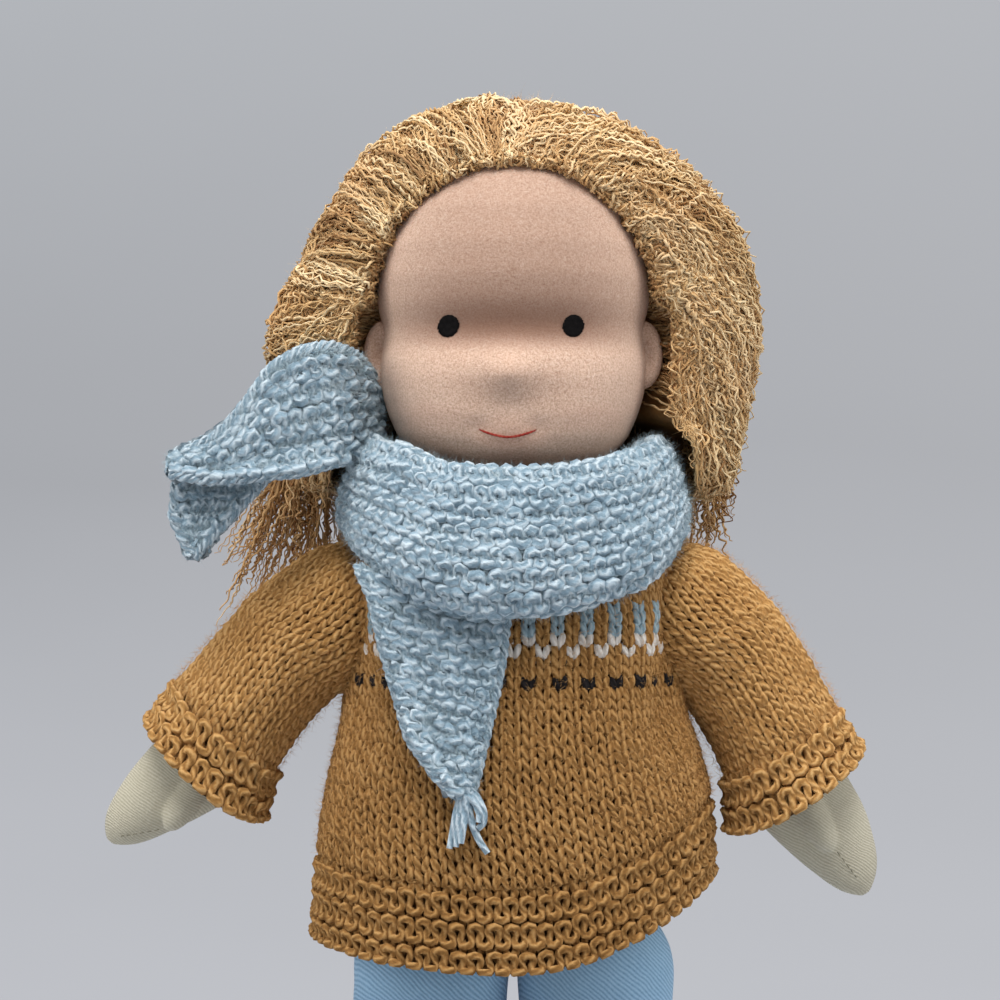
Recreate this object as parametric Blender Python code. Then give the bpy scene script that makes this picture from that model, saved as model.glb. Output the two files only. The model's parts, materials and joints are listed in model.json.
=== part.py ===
"""A soft sewn doll in a knitted sweater, scarf and twill trousers.

The doll stands on its soles at z = 0 and faces -Y, so its own right side is at -X.
Sizes are in metres. Each limb is modelled in the frame of the joint that carries it.
"""

import math

import bmesh
import bpy
from mathutils import Matrix, Vector
from mathutils.bvhtree import BVHTree

# Clearances and cloth walls
CLEAR = 0.0003
OVERRUN = 0.02
SKIN_WALL = 0.0011
KNIT_WALL = 0.0023
TWILL_WALL = 0.0012
SCARF_WALL = 0.0045
CAP_WALL = 0.001
EYE_WALL = 0.0006
EYE_LIFT = 0.0004

# Heights of the standing doll, each stacked on the one before it
HIP_HEIGHT = 0.165
HIP_TO_SHOULDER = 0.101
SHOULDER_TO_NECK = 0.03
NECK_TO_NOD = 0.022
NOD_TO_CHIN = 0.013
HEAD_HEIGHT = 0.104

# Head
HEAD_HALF_WIDTH = 0.04
HEAD_FRONT = 0.0395
HEAD_BACK = 0.042
NOSE_RISE = 0.0046
NOSE_SPREAD = 0.0042
CHEEK_RISE = 0.0014
CHEEK_SPREAD = 0.011
CHEEK_APART = 0.019
EYE_APART = 0.0177
EYE_RADIUS = 0.0031
MOUTH_HALF_WIDTH = 0.008
MOUTH_DROP = 0.0022
THREAD_RADIUS = 0.0005
EAR_HALF_HEIGHT = 0.0098
EAR_REACH = 0.0044
EAR_HALF_DEPTH = 0.0036
NECK_RADIUS = 0.010
NECK_BALL_RADIUS = 0.013
TIE_RADIUS = 0.001

# Hair
HAIR_HEIGHT = 0.115
HAIR_HALF_WIDTH = 0.0706
HAIR_FRONT = 0.047
HAIR_BACK = 0.056
HAIR_BACK_HALF_WIDTH = 0.024
HAIR_BELOW_CHIN = 0.003
HAIRLINE_RISE = 0.0375
HAIRLINE_HALF_WIDTH = 0.0395
TEMPLE_HALF_WIDTH = 0.0455
FACE_OPENING_DEPTH = 0.002
FALL_LENGTH = 0.05
FALL_WALL = 0.011
FALL_HALF_ANGLE = math.radians(50)

# Torso and shoulders
TORSO_HALF_WIDTH = 0.036
TORSO_HALF_DEPTH = 0.024
SHOULDER_HALF_SPAN = 0.049
SHOULDER_BALL_RADIUS = 0.0245
TAB_RADIUS = 0.006

# Sweater
SWEATER_LENGTH = 0.130
SHOULDER_TO_HEM = 0.097
HEM_RISE_LEFT = 0.0175
HEM_RISE_RIGHT = 0.005
HEM_BAND_HEIGHT = 0.0235
YOKE_HEIGHT = 0.057
SWEATER_FRONT = 0.044
SWEATER_BACK = 0.04

# Arms
ARM_LENGTH = 0.094
SLEEVE_LENGTH = 0.0445
CUFF_LENGTH = 0.0138
SLEEVE_RADIUS = 0.0194
CUFF_RADIUS = 0.0225
CUFF_DROP = 0.004
ARM_BALL_RADIUS = 0.015
ARM_RADIUS = 0.013
HAND_HALF_WIDTH = 0.0105
HAND_HALF_DEPTH = 0.0077
THUMB_RADIUS = 0.0042
THUMB_LENGTH = 0.0145
ARM_REST = {"right": math.radians(42.6), "left": math.radians(33.2)}

# Legs
LEG_HALF_GAP = 0.0015
THIGH_HALF_WIDTH = 0.0225
THIGH_HALF_DEPTH = 0.020
LEG_RADIUS = 0.0165
ANKLE_RADIUS = 0.0105
FOOT_LENGTH = 0.042
FOOT_HALF_WIDTH = 0.0118
FOOT_HEIGHT = 0.0205
SOLE_CUT = 0.0005
TROUSER_TO_FLOOR = 0.021
TURN_UP_HEIGHT = 0.011
WAISTBAND_HEIGHT = 0.009
SEAT_HEIGHT = 0.03

# Scarf
SCARF_HALF_WIDTH = 0.0485
SCARF_FRONT = 0.0505
SCARF_BACK = 0.0405
SCARF_POWER = 2.4
FRONT_TAIL_LENGTH = 0.049
FRONT_TAIL_WALL = 0.004
SIDE_TAIL_LENGTH = 0.064
SIDE_TAIL_WALL = 0.0042
TASSEL_LENGTH = 0.0155
TASSEL_RADIUS = 0.0026

# Counts of facets round each form
BODY_SIDES = 24
HEAD_SIDES = 26
HAIR_SIDES = 26
LIMB_SIDES = 14
INNER_SIDES = 12
SEAT_SIDES = 16
SMALL_SIDES = 8

# Colours and roughness of each cloth
LOOKS = {
    "skin": ((0.66, 0.44, 0.33), 0.9),
    "wool": ((0.80, 0.76, 0.68), 0.95),
    "thread_black": ((0.012, 0.010, 0.010), 0.6),
    "thread_red": ((0.32, 0.035, 0.035), 0.7),
    "hair": ((0.50, 0.33, 0.16), 0.9),
    "cap": ((0.20, 0.12, 0.06), 0.95),
    "sweater": ((0.34, 0.20, 0.07), 0.95),
    "scarf": ((0.30, 0.38, 0.44), 0.95),
    "hand": ((0.52, 0.50, 0.38), 0.95),
    "twill": ((0.17, 0.25, 0.34), 0.9),
}

X_AXIS = Vector((1, 0, 0))
Y_AXIS = Vector((0, 1, 0))
Z_AXIS = Vector((0, 0, 1))

# Places that follow from the sizes above
HIP_HALF_SPAN = LEG_HALF_GAP + THIGH_HALF_WIDTH
TORSO_BOTTOM = HIP_HEIGHT + THIGH_HALF_DEPTH + CLEAR
SHOULDER_HEIGHT = HIP_HEIGHT + HIP_TO_SHOULDER
NECK_HEIGHT = SHOULDER_HEIGHT + SHOULDER_TO_NECK
NOD_HEIGHT = NECK_HEIGHT + NECK_TO_NOD
CHIN_HEIGHT = NOD_HEIGHT - NOD_TO_CHIN
CROWN_HEIGHT = CHIN_HEIGHT + HEAD_HEIGHT
HAIR_BOTTOM = CHIN_HEIGHT - HAIR_BELOW_CHIN
HEM_HEIGHT = SHOULDER_HEIGHT - SHOULDER_TO_HEM
YOKE_BOTTOM = HEM_HEIGHT + SWEATER_LENGTH - YOKE_HEIGHT
CHEST_BOTTOM = HEM_HEIGHT + HEM_BAND_HEIGHT
ARMHOLE_RADIUS = SHOULDER_BALL_RADIUS + CLEAR * 2
WRIST_SHARE = 0.6


def shaped(value, power):
    """A sine or cosine flattened towards a squarer outline as power rises above 2."""
    return math.copysign(abs(value) ** (2 / power), value)


def spaced_angle(step, count, crowding):
    """Angle of one of count steps, crowded towards the front (-Y) by crowding, from 0 to 1."""
    turn = math.tau * step / count
    return turn - crowding * math.sin(turn) - math.pi / 2


def ring(centre, across, along, half_across, front, back, count, power=2.0, crowding=0.0):
    """Closed loop of points round centre. The front half lies on the negative side of along."""
    points = []
    for step in range(count):
        angle = spaced_angle(step, count, crowding)
        side = shaped(math.cos(angle), power) * half_across
        depth = shaped(math.sin(angle), power) * (back if math.sin(angle) > 0 else front)
        points.append(centre + across * side + along * depth)
    return points


def level_ring(height, half_width, front, back, count, power=2.0, crowding=0.0, x=0.0, y=0.0):
    """Loop in a level plane."""
    centre = Vector((x, y, height))
    return ring(centre, X_AXIS, Y_AXIS, half_width, front, back, count, power, crowding)


def between(table, share):
    """Row of a table at share, in straight steps between the rows, whose first value is the share."""
    for low, high in zip(table, table[1:]):
        if share <= high[0]:
            part = max(0.0, (share - low[0]) / (high[0] - low[0]))
            return [a + (b - a) * part for a, b in zip(low, high)][1:]
    return list(table[-1][1:])


def bridge(mesh, low, high):
    """Faces between two loops, either of which may be a single point."""
    count = max(len(low), len(high))
    for step in range(count):
        after = (step + 1) % count
        corners = [low[step % len(low)], low[after % len(low)]]
        corners += [high[after % len(high)], high[step % len(high)]]
        mesh.faces.new(list(dict.fromkeys(corners)))


def skin_loops(loops, capped=True, round_again=False):
    """A bmesh through the loops, with flat caps on its ends or joined back to its start."""
    mesh = bmesh.new()
    rows = [[mesh.verts.new(point) for point in loop] for loop in loops]
    following = rows[1:] + rows[:1] if round_again else rows[1:]
    for low, high in zip(rows, following):
        bridge(mesh, low, high)
    for row in (rows[0], rows[-1]):
        if capped and not round_again and len(row) > 1:
            mesh.faces.new(row)
    bmesh.ops.recalc_face_normals(mesh, faces=mesh.faces)
    return mesh


def look(name):
    """The material of this name, made once."""
    found = bpy.data.materials.get(name)
    if found:
        return found
    colour, roughness = LOOKS[name]
    made = bpy.data.materials.new(name)
    made.use_nodes = True
    surface = made.node_tree.nodes["Principled BSDF"]
    surface.inputs["Base Color"].default_value = (*colour, 1)
    surface.inputs["Roughness"].default_value = roughness
    surface.inputs["Metallic"].default_value = 0
    made.diffuse_color = (*colour, 1)
    return made


def add_piece(name, mesh, look_name, joint, at=None):
    """Object from a bmesh modelled in the doll's frame, or in its joint's where at is left out."""
    if at is not None:
        mesh.transform(Matrix.Translation(-at))
    data = bpy.data.meshes.new(name)
    mesh.to_mesh(data)
    mesh.free()
    data.shade_smooth()
    piece = bpy.data.objects.new(name, data)
    bpy.context.scene.collection.objects.link(piece)
    piece.data.materials.append(look(look_name))
    piece.parent = joint
    return piece


def add_joint(name, location, parent, turn=0.0):
    """Empty on a joint's axis. turn swings it about Y."""
    empty = bpy.data.objects.new(name, None)
    bpy.context.scene.collection.objects.link(empty)
    empty.location = location
    empty.rotation_euler = (0, turn, 0)
    empty.parent = parent
    return empty


def give_wall(piece, wall, outward=False):
    """Turn an open form into a shell."""
    shell = piece.modifiers.new("wall", "SOLIDIFY")
    shell.thickness = wall
    shell.offset = 1 if outward else -1
    shell.use_even_offset = True


def stuff(name, loops, joint, at=None):
    """Stuffing that fills the form through loops, clear of the form's skin."""
    core = add_piece(name, skin_loops(loops), "wool", joint, at)
    swell(core, -(SKIN_WALL + CLEAR * 2))
    return core


def swell(piece, amount):
    """Move a piece's surface out by amount, or in where it is below zero."""
    move = piece.modifiers.new("swell", "DISPLACE")
    move.strength = amount
    move.mid_level = 0


def cut(piece, cutter, keep=False):
    """Take cutter out of piece, or keep only what lies inside it."""
    boolean = piece.modifiers.new("cut", "BOOLEAN")
    boolean.operation = "INTERSECT" if keep else "DIFFERENCE"
    boolean.solver = "EXACT"
    boolean.object = cutter


def as_cutter(piece, grow=0.0):
    """Mark a helper that only cuts, and swell it by grow."""
    piece.hide_render = True
    piece.display_type = "WIRE"
    if grow:
        swell(piece, grow)
    return piece


def box_cutter(name, low, high, joint, at):
    """Helper box between two corners."""
    mesh = bmesh.new()
    bmesh.ops.create_cube(mesh, size=1)
    span = high - low
    mesh.transform(Matrix.Translation((low + high) / 2) @ Matrix.Diagonal((*span, 1)))
    return as_cutter(add_piece(name, mesh, "wool", joint, at))


# Head: shares of its height, half width, front depth and back depth
HEAD_SHARES = (
    (0.000, 0.36, 0.30, 0.34),
    (0.015, 0.42, 0.38, 0.40),
    (0.045, 0.60, 0.70, 0.56),
    (0.080, 0.73, 0.86, 0.68),
    (0.125, 0.83, 0.94, 0.78),
    (0.185, 0.90, 0.985, 0.86),
    (0.240, 0.945, 1.00, 0.91),
    (0.290, 0.965, 1.01, 0.94),
    (0.335, 0.965, 1.00, 0.96),
    (0.385, 0.945, 0.962, 0.975),
    (0.430, 0.945, 0.945, 0.985),
    (0.490, 0.980, 0.985, 1.00),
    (0.565, 1.00, 1.00, 1.00),
    (0.655, 0.975, 0.98, 0.985),
    (0.750, 0.89, 0.91, 0.92),
    (0.835, 0.755, 0.78, 0.79),
    (0.915, 0.56, 0.58, 0.60),
    (0.970, 0.33, 0.34, 0.36),
)
HEAD_OPENING_SHARE = 0.015
NOSE_SHARE = 0.315
CHEEK_SHARE = 0.235
EYE_SHARE = 0.424
MOUTH_SHARE = 0.1225
EAR_SHARE = 0.36
EAR_BACK_SHARE = 0.1
CAP_SHARE = 0.64
HEAD_CROWDING = 0.5
SOCKET_LOOSENESS = 1.07


def hump(distance_x, distance_z, spread):
    """Soft round rise that fades with distance."""
    return math.exp(-(distance_x**2 + distance_z**2) / (2 * spread**2))


def raise_features(point):
    """Move a point of the face forward for the nose and the cheeks."""
    if point.y > 0:
        return point
    nose = NOSE_RISE * hump(point.x, point.z - head_level(NOSE_SHARE), NOSE_SPREAD)
    cheek_x = abs(point.x) - CHEEK_APART
    cheek = CHEEK_RISE * hump(cheek_x, point.z - head_level(CHEEK_SHARE), CHEEK_SPREAD)
    return point - Y_AXIS * (nose + cheek)


def head_level(share):
    """Height at a share of the head's height above the chin."""
    return CHIN_HEIGHT + HEAD_HEIGHT * share


def head_loop(share):
    """The head's outline at a share of its height."""
    width, front, back = between(HEAD_SHARES, share)
    loop = level_ring(
        head_level(share),
        HEAD_HALF_WIDTH * width,
        HEAD_FRONT * front,
        HEAD_BACK * back,
        HEAD_SIDES,
        crowding=HEAD_CROWDING,
    )
    return [raise_features(point) for point in loop]


def head_loops(first=0.0):
    """Loops of the head from a share of its height up to the crown."""
    shares = [first] + [row[0] for row in HEAD_SHARES if row[0] > first]
    return [head_loop(share) for share in shares] + [[Vector((0, 0, CROWN_HEIGHT))]]


def head_cutter(name, head, at, grow):
    """Helper of the head's form, swollen by grow, that other pieces seat on."""
    return as_cutter(add_piece(name, skin_loops(head_loops()), "wool", head, at), grow)


def make_head(head, at):
    """Stuffed core, jersey skin, ears, eyes and mouth."""
    skin = add_piece(
        "head_skin", skin_loops(head_loops(HEAD_OPENING_SHARE), capped=False), "skin", head, at
    )
    give_wall(skin, SKIN_WALL)
    core = stuff("head_core", head_loops(HEAD_OPENING_SHARE), head, at)
    cut(core, neck_socket(head, at))
    seat = head_cutter("ear_seat", head, at, CLEAR)
    for side_name, side in (("right", -1), ("left", 1)):
        make_ear(f"ear_{side_name}", side, head, at, seat)
    surface = face_surface()
    for side_name, side in (("right", -1), ("left", 1)):
        make_eye(f"eye_{side_name}", side, head, at, surface)
    make_mouth(head, at, surface)


def neck_socket(head, at):
    """Helper that hollows the core for the ball of the neck."""
    radius = (NECK_BALL_RADIUS + CLEAR) * SOCKET_LOOSENESS
    loops = [level_ring(CHIN_HEIGHT - radius, radius, radius, radius, LIMB_SIDES)]
    loops += ball_loops(Vector((0, 0, NOD_HEIGHT)), radius, 0.0, LIMB_SIDES)
    return as_cutter(add_piece("neck_socket", skin_loops(loops), "wool", head, at))


def ball_loops(centre, radius, start, count, steps=4):
    """Level loops of a ball from the latitude start up to its pole."""
    loops = []
    for step in range(steps):
        latitude = start + (math.pi / 2 - start) * step / steps
        reach = radius * math.cos(latitude)
        height = centre.z + radius * math.sin(latitude)
        loops.append(level_ring(height, reach, reach, reach, count, x=centre.x, y=centre.y))
    return loops + [[centre + Z_AXIS * radius]]


def make_ear(name, side, head, at, seat):
    """Half-round ear sewn to the side of the head."""
    width = between(HEAD_SHARES, EAR_SHARE)[0] * HEAD_HALF_WIDTH
    centre = Vector((side * width, HEAD_BACK * -EAR_BACK_SHARE, head_level(EAR_SHARE)))
    mesh = bmesh.new()
    bmesh.ops.create_uvsphere(mesh, u_segments=SMALL_SIDES, v_segments=6, radius=1)
    size = Matrix.Diagonal((EAR_REACH, EAR_HALF_DEPTH, EAR_HALF_HEIGHT, 1))
    mesh.transform(Matrix.Translation(centre) @ size)
    cut(add_piece(name, mesh, "skin", head, at), seat)


def face_surface():
    """Search tree of the head's outer form, in the doll's frame."""
    mesh = skin_loops(head_loops())
    bmesh.ops.triangulate(mesh, faces=mesh.faces)
    tree = BVHTree.FromBMesh(mesh)
    mesh.free()
    return tree


def face_point(surface, x, z, lift):
    """The face's point in front of x, z, lifted off it."""
    hit = surface.ray_cast(Vector((x, -HEAD_FRONT - OVERRUN, z)), Y_AXIS)
    return hit[0] + hit[1] * lift


def make_eye(name, side, head, at, surface):
    """Round embroidered spot that follows the face."""
    middle_x, middle_z = side * EYE_APART, head_level(EYE_SHARE)
    mesh = bmesh.new()
    middle = mesh.verts.new(face_point(surface, middle_x, middle_z, EYE_LIFT))
    loops = []
    for share in (0.5, 1.0):
        loop = []
        for step in range(SMALL_SIDES):
            angle = math.tau * step / SMALL_SIDES
            x = middle_x + math.cos(angle) * EYE_RADIUS * share
            z = middle_z + math.sin(angle) * EYE_RADIUS * share
            loop.append(mesh.verts.new(face_point(surface, x, z, EYE_LIFT)))
        loops.append(loop)
    bridge(mesh, [middle], loops[0])
    bridge(mesh, loops[0], loops[1])
    mesh.normal_update()
    if sum(face.normal.y for face in mesh.faces) > 0:
        bmesh.ops.reverse_faces(mesh, faces=mesh.faces)
    give_wall(add_piece(name, mesh, "thread_black", head, at), EYE_WALL, outward=True)


def make_mouth(head, at, surface):
    """Curved mouth of one thread."""
    points = []
    for step in range(9):
        share = step / 4 - 1
        x = share * MOUTH_HALF_WIDTH
        z = head_level(MOUTH_SHARE) + MOUTH_DROP * share**2
        points.append(face_point(surface, x, z, THREAD_RADIUS + EYE_LIFT) - at)
    add_cord("mouth", points, THREAD_RADIUS, "thread_red", head)


def add_cord(name, points, radius, look_name, joint, radii=None):
    """Round cord through points of its joint's frame."""
    curve = bpy.data.curves.new(name, "CURVE")
    curve.dimensions = "3D"
    curve.bevel_depth = radius
    curve.bevel_resolution = 1
    curve.use_fill_caps = True
    line = curve.splines.new("POLY")
    line.points.add(len(points) - 1)
    for index, point in enumerate(points):
        line.points[index].co = (*point, 1)
        line.points[index].radius = radii[index] if radii else 1
    cord = bpy.data.objects.new(name, curve)
    bpy.context.scene.collection.objects.link(cord)
    cord.data.materials.append(look(look_name))
    cord.parent = joint
    return cord


def make_neck(neck, at):
    """Neck roll, whose ball seats in the head's core."""
    centre = Vector((0, 0, NOD_HEIGHT))
    start = -math.acos(NECK_RADIUS / NECK_BALL_RADIUS)
    base = NECK_HEIGHT + CLEAR
    loops = [level_ring(base, NECK_RADIUS, NECK_RADIUS, NECK_RADIUS, LIMB_SIDES)]
    loops += ball_loops(centre, NECK_BALL_RADIUS, start, LIMB_SIDES, steps=6)
    add_piece("neck", skin_loops(loops), "skin", neck, at)


# Hair: shares of its height, half width, front depth and back depth
HAIR_SHARES = (
    (0.000, 0.880, 0.15, 1.00),
    (0.120, 0.950, 0.17, 1.00),
    (0.245, 0.970, 0.20, 1.00),
    (0.375, 1.000, 0.36, 1.00),
    (0.470, 0.985, 0.75, 1.00),
    (0.575, 0.935, 0.95, 0.98),
    (0.680, 0.850, 0.98, 0.92),
    (0.775, 0.735, 0.86, 0.80),
    (0.830, 0.655, 0.78, 0.72),
    (0.885, 0.540, 0.65, 0.60),
    (0.935, 0.420, 0.48, 0.45),
    (0.975, 0.250, 0.28, 0.27),
)
HAIR_POWER = 2.2
HAIR_SPLIT_SHARE = 0.61
HAIRLINE_SHARE = 0.52
TEMPLE_SHARE = 0.12
WELL_SHARE = 0.17
WELL_HALF_WIDTH = 0.0545
WELL_BACK = 0.0515


def hair_loop(share):
    """The hair's outline at a share of its height."""
    width, front, back = between(HAIR_SHARES, share)
    return level_ring(
        HAIR_BOTTOM + HAIR_HEIGHT * share,
        HAIR_HALF_WIDTH * width,
        HAIR_FRONT * front,
        HAIR_BACK * back,
        HAIR_SIDES,
        power=HAIR_POWER,
    )


def hair_loops(first, last):
    """Loops of the hair between two shares of its height."""
    inner = [row[0] for row in HAIR_SHARES if first < row[0] < last]
    loops = [hair_loop(share) for share in [first, *inner]]
    top = Vector((0, 0, HAIR_BOTTOM + HAIR_HEIGHT))
    return loops + [[top] if last == 1 else hair_loop(last)]


def face_opening(head, at):
    """Helper that opens the hair over the face, arched at the hairline."""
    spring = head_level(HAIRLINE_SHARE)
    temple = spring - HEAD_HEIGHT * TEMPLE_SHARE
    outline = [Vector((TEMPLE_HALF_WIDTH, 0, HAIR_BOTTOM - OVERRUN))]
    outline.append(Vector((TEMPLE_HALF_WIDTH, 0, temple)))
    for step in range(13):
        angle = math.pi * step / 12
        x = HAIRLINE_HALF_WIDTH * math.cos(angle)
        outline.append(Vector((x, 0, spring + HAIRLINE_RISE * math.sin(angle))))
    outline.append(Vector((-TEMPLE_HALF_WIDTH, 0, temple)))
    outline.append(Vector((-TEMPLE_HALF_WIDTH, 0, HAIR_BOTTOM - OVERRUN)))
    near = [point - Y_AXIS * (HAIR_FRONT + OVERRUN) for point in outline]
    far = [point + Y_AXIS * FACE_OPENING_DEPTH for point in outline]
    return as_cutter(add_piece("face_opening", skin_loops([near, far]), "wool", head, at))


def scarf_well(head, at):
    """Helper that keeps the hair clear of the scarf round the neck."""
    size = (WELL_HALF_WIDTH, WELL_HALF_WIDTH, WELL_BACK)
    loops = []
    for height in (HAIR_BOTTOM - OVERRUN, HAIR_BOTTOM + HAIR_HEIGHT * WELL_SHARE):
        loops.append(level_ring(height, *size, HAIR_SIDES))
    return as_cutter(add_piece("scarf_well", skin_loops(loops), "wool", head, at))


def make_hair(head, at):
    """Wig cap, crown, both side masses, the back and the loose fall."""
    opening = face_opening(head, at)
    well = scarf_well(head, at)
    skull = head_cutter("hair_seat", head, at, CAP_WALL + CLEAR * 2)
    cap = add_piece("wig_cap", skin_loops(head_loops(CAP_SHARE), capped=False), "cap", head, at)
    swell(cap, CLEAR)
    give_wall(cap, CAP_WALL, outward=True)
    cut(cap, opening)
    gap = CLEAR / HAIR_HEIGHT
    crown_loops = hair_loops(HAIR_SPLIT_SHARE + gap, 1)
    crown = add_piece("hair_crown", skin_loops(crown_loops), "hair", head, at)
    for cutter in (skull, opening):
        cut(crown, cutter)
    reach = HAIR_HALF_WIDTH + OVERRUN
    low_z, high_z = HAIR_BOTTOM - OVERRUN, HAIR_BOTTOM + HAIR_HEIGHT
    spans = {
        "right": (-reach, -HAIR_BACK_HALF_WIDTH - CLEAR),
        "back": (-HAIR_BACK_HALF_WIDTH, HAIR_BACK_HALF_WIDTH),
        "left": (HAIR_BACK_HALF_WIDTH + CLEAR, reach),
    }
    for place, (low_x, high_x) in spans.items():
        low, high = Vector((low_x, -reach, low_z)), Vector((high_x, reach, high_z))
        mass_loops = hair_loops(0.0, HAIR_SPLIT_SHARE)
        mass = add_piece(f"hair_{place}", skin_loops(mass_loops), "hair", head, at)
        cut(mass, box_cutter(f"hair_span_{place}", low, high, head, at), keep=True)
        for cutter in (skull, opening, well):
            cut(mass, cutter)
    make_fall(head, at)


# Loose fall of hair: shares of its length, of its width and of its locks' unevenness
FALL_SHARES = ((0.0, 1.0, 0.0), (0.35, 0.96, 0.1), (0.7, 0.92, 0.4), (1.0, 0.86, 1.0))
FALL_LOCK_DEPTH_SHARE = 0.125
FALL_LOCK_DROP = 0.005


def make_fall(head, at):
    """Curtain of loose hair that hangs behind the neck, with soft locks."""
    loops = []
    for down, spread, uneven in FALL_SHARES:
        height = HAIR_BOTTOM - CLEAR - FALL_LENGTH * down
        loops.append(curtain_loop(height, FALL_HALF_ANGLE * spread, FALL_LOCK_DROP * uneven))
    add_piece("hair_fall", skin_loops(loops), "hair", head, at)


def curtain_loop(height, half_angle, uneven, steps=10):
    """Loop of a curved wall behind the scarf and the back, in locks of uneven length."""
    face, lining = [], []
    for step in range(steps + 1):
        angle = math.pi / 2 + half_angle * (2 * step / steps - 1)
        side, depth = shaped(math.cos(angle), SWEATER_POWER), shaped(math.sin(angle), SWEATER_POWER)
        wall = FALL_WALL * (1 + FALL_LOCK_DEPTH_SHARE * math.cos(math.pi * step))
        near_side, near_depth = SHOULDER_HALF_SPAN, SCARF_BACK + CLEAR * 2
        level = height + uneven * math.sin(step)
        lining.append(Vector((side * near_side, depth * near_depth, level)))
        face.append(Vector((side * (near_side + wall), depth * (near_depth + wall), level)))
    return face + lining[::-1]


# Torso: shares of its height, half width and half depth
TORSO_SHARES = (
    (0.00, 0.88, 0.80),
    (0.07, 1.00, 1.00),
    (0.25, 0.97, 1.02),
    (0.45, 0.84, 0.95),
    (0.57, 0.72, 0.87),
    (0.665, 0.655, 0.80),
    (0.79, 0.655, 0.72),
    (0.88, 0.54, 0.62),
    (1.00, 0.31, 0.46),
)
TAB_SEAT_SHARE = 0.655
TORSO_POWER = 2.3


def torso_loops():
    """Loops of the stuffed torso, from its flat bottom to the neck."""
    height = NECK_HEIGHT - TORSO_BOTTOM
    loops = [[Vector((0, 0, TORSO_BOTTOM))]]
    for share, width, depth in TORSO_SHARES:
        half_width, half_depth = TORSO_HALF_WIDTH * width, TORSO_HALF_DEPTH * depth
        level = TORSO_BOTTOM + height * share
        loops.append(level_ring(level, half_width, half_depth, half_depth, SEAT_SIDES, power=TORSO_POWER))
    return loops


def make_torso(doll):
    """Torso core in its skin, which is open at the neck, and the cord that ties the neck."""
    skin = add_piece("torso_skin", skin_loops(torso_loops(), capped=False), "skin", doll)
    give_wall(skin, SKIN_WALL)
    stuff("torso_core", torso_loops(), doll)
    points = []
    reach = NECK_RADIUS + CLEAR + TIE_RADIUS
    for step in range(SEAT_SIDES):
        angle = math.tau * step / SEAT_SIDES
        height = NECK_HEIGHT + CLEAR + TIE_RADIUS
        points.append(Vector((reach * math.cos(angle), reach * math.sin(angle), height)))
    tie = add_cord("neck_tie", points, TIE_RADIUS, "wool", doll)
    tie.data.splines[0].use_cyclic_u = True


# Sweater: shares of its length from the hem up, then of the shoulder span, front and back
SWEATER_SHARES = (
    (0.00, 1.195, 1.02, 0.955),
    (0.07, 1.185, 1.00, 0.965),
    (0.173, 1.165, 0.985, 0.975),
    (0.27, 1.130, 0.965, 0.96),
    (0.40, 1.075, 0.94, 0.93),
    (0.50, 1.025, 0.92, 0.90),
    (0.579, 1.003, 0.90, 0.88),
    (0.75, 1.000, 0.875, 0.83),
    (0.84, 0.965, 0.845, 0.79),
    (0.90, 0.885, 0.80, 0.72),
    (0.95, 0.735, 0.71, 0.63),
    (1.00, 0.570, 0.59, 0.52),
)
SWEATER_POWER = 2.6
HEM_RISE_END_SHARE = 0.55


def sweater_loop(share):
    """The sweater's outline at a share of its length. The hem band rides up at the sides."""
    width, front, back = between(SWEATER_SHARES, share)
    loop = level_ring(
        HEM_HEIGHT + SWEATER_LENGTH * share,
        SHOULDER_HALF_SPAN * width,
        SWEATER_FRONT * front,
        SWEATER_BACK * back,
        BODY_SIDES,
        power=SWEATER_POWER,
    )
    fade = (HEM_RISE_END_SHARE - share) / (HEM_RISE_END_SHARE - sweater_share(CHEST_BOTTOM))
    return [point + Z_AXIS * (hem_rise(point.x) * min(1.0, max(0.0, fade))) for point in loop]


def hem_rise(x):
    """How far the hem is pulled up at x, more on the doll's left than on its right."""
    rise = HEM_RISE_LEFT if x > 0 else HEM_RISE_RIGHT
    return rise * (x / SHOULDER_HALF_SPAN) ** 2


def sweater_share(height):
    """Share of the sweater's length at a height."""
    return (height - HEM_HEIGHT) / SWEATER_LENGTH


def sweater_part(name, low, high, doll, extra=()):
    """Tube of the sweater between two heights."""
    first, last = sweater_share(low), sweater_share(high)
    shares = [row[0] for row in SWEATER_SHARES if first < row[0] < last]
    shares = sorted([first, last, *shares, *extra])
    mesh = skin_loops([sweater_loop(share) for share in shares], capped=False)
    part = add_piece(name, mesh, "sweater", doll)
    give_wall(part, KNIT_WALL)
    return part


def make_sweater(doll):
    """Hem band, body and yoke, with armholes that the sleeves turn in."""
    sweater_part("sweater_hem", HEM_HEIGHT, CHEST_BOTTOM - CLEAR * 3, doll)
    parts = [sweater_part("sweater_body", CHEST_BOTTOM, YOKE_BOTTOM - CLEAR, doll)]
    parts.append(sweater_part("sweater_yoke", YOKE_BOTTOM, HEM_HEIGHT + SWEATER_LENGTH, doll))
    for side_name, side in (("right", -1), ("left", 1)):
        mesh = bmesh.new()
        bmesh.ops.create_uvsphere(
            mesh, u_segments=BODY_SIDES, v_segments=LIMB_SIDES, radius=ARMHOLE_RADIUS
        )
        centre = Vector((side * SHOULDER_HALF_SPAN, 0, SHOULDER_HEIGHT))
        mesh.transform(Matrix.Translation(centre))
        armhole = as_cutter(add_piece(f"armhole_{side_name}", mesh, "wool", doll))
        for part in parts:
            cut(part, armhole)


# Arms: each station gives a share of a length, then shares of the radii
SLEEVE_SHARES = (
    (0.20, 0.13, 1.135),
    (0.34, 0.27, 1.050),
    (0.46, 0.30, 0.985),
    (0.66, 0.30, 0.975),
    (0.84, 0.26, 0.980),
)
SLEEVE_END_SHARES = (0.22, 1.0)
OPENING_ANGLES = (27.5, 20, 10, 0)
OPENING_SHARES = (0.67, 0.45, 0.205, 0.0)


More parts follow.
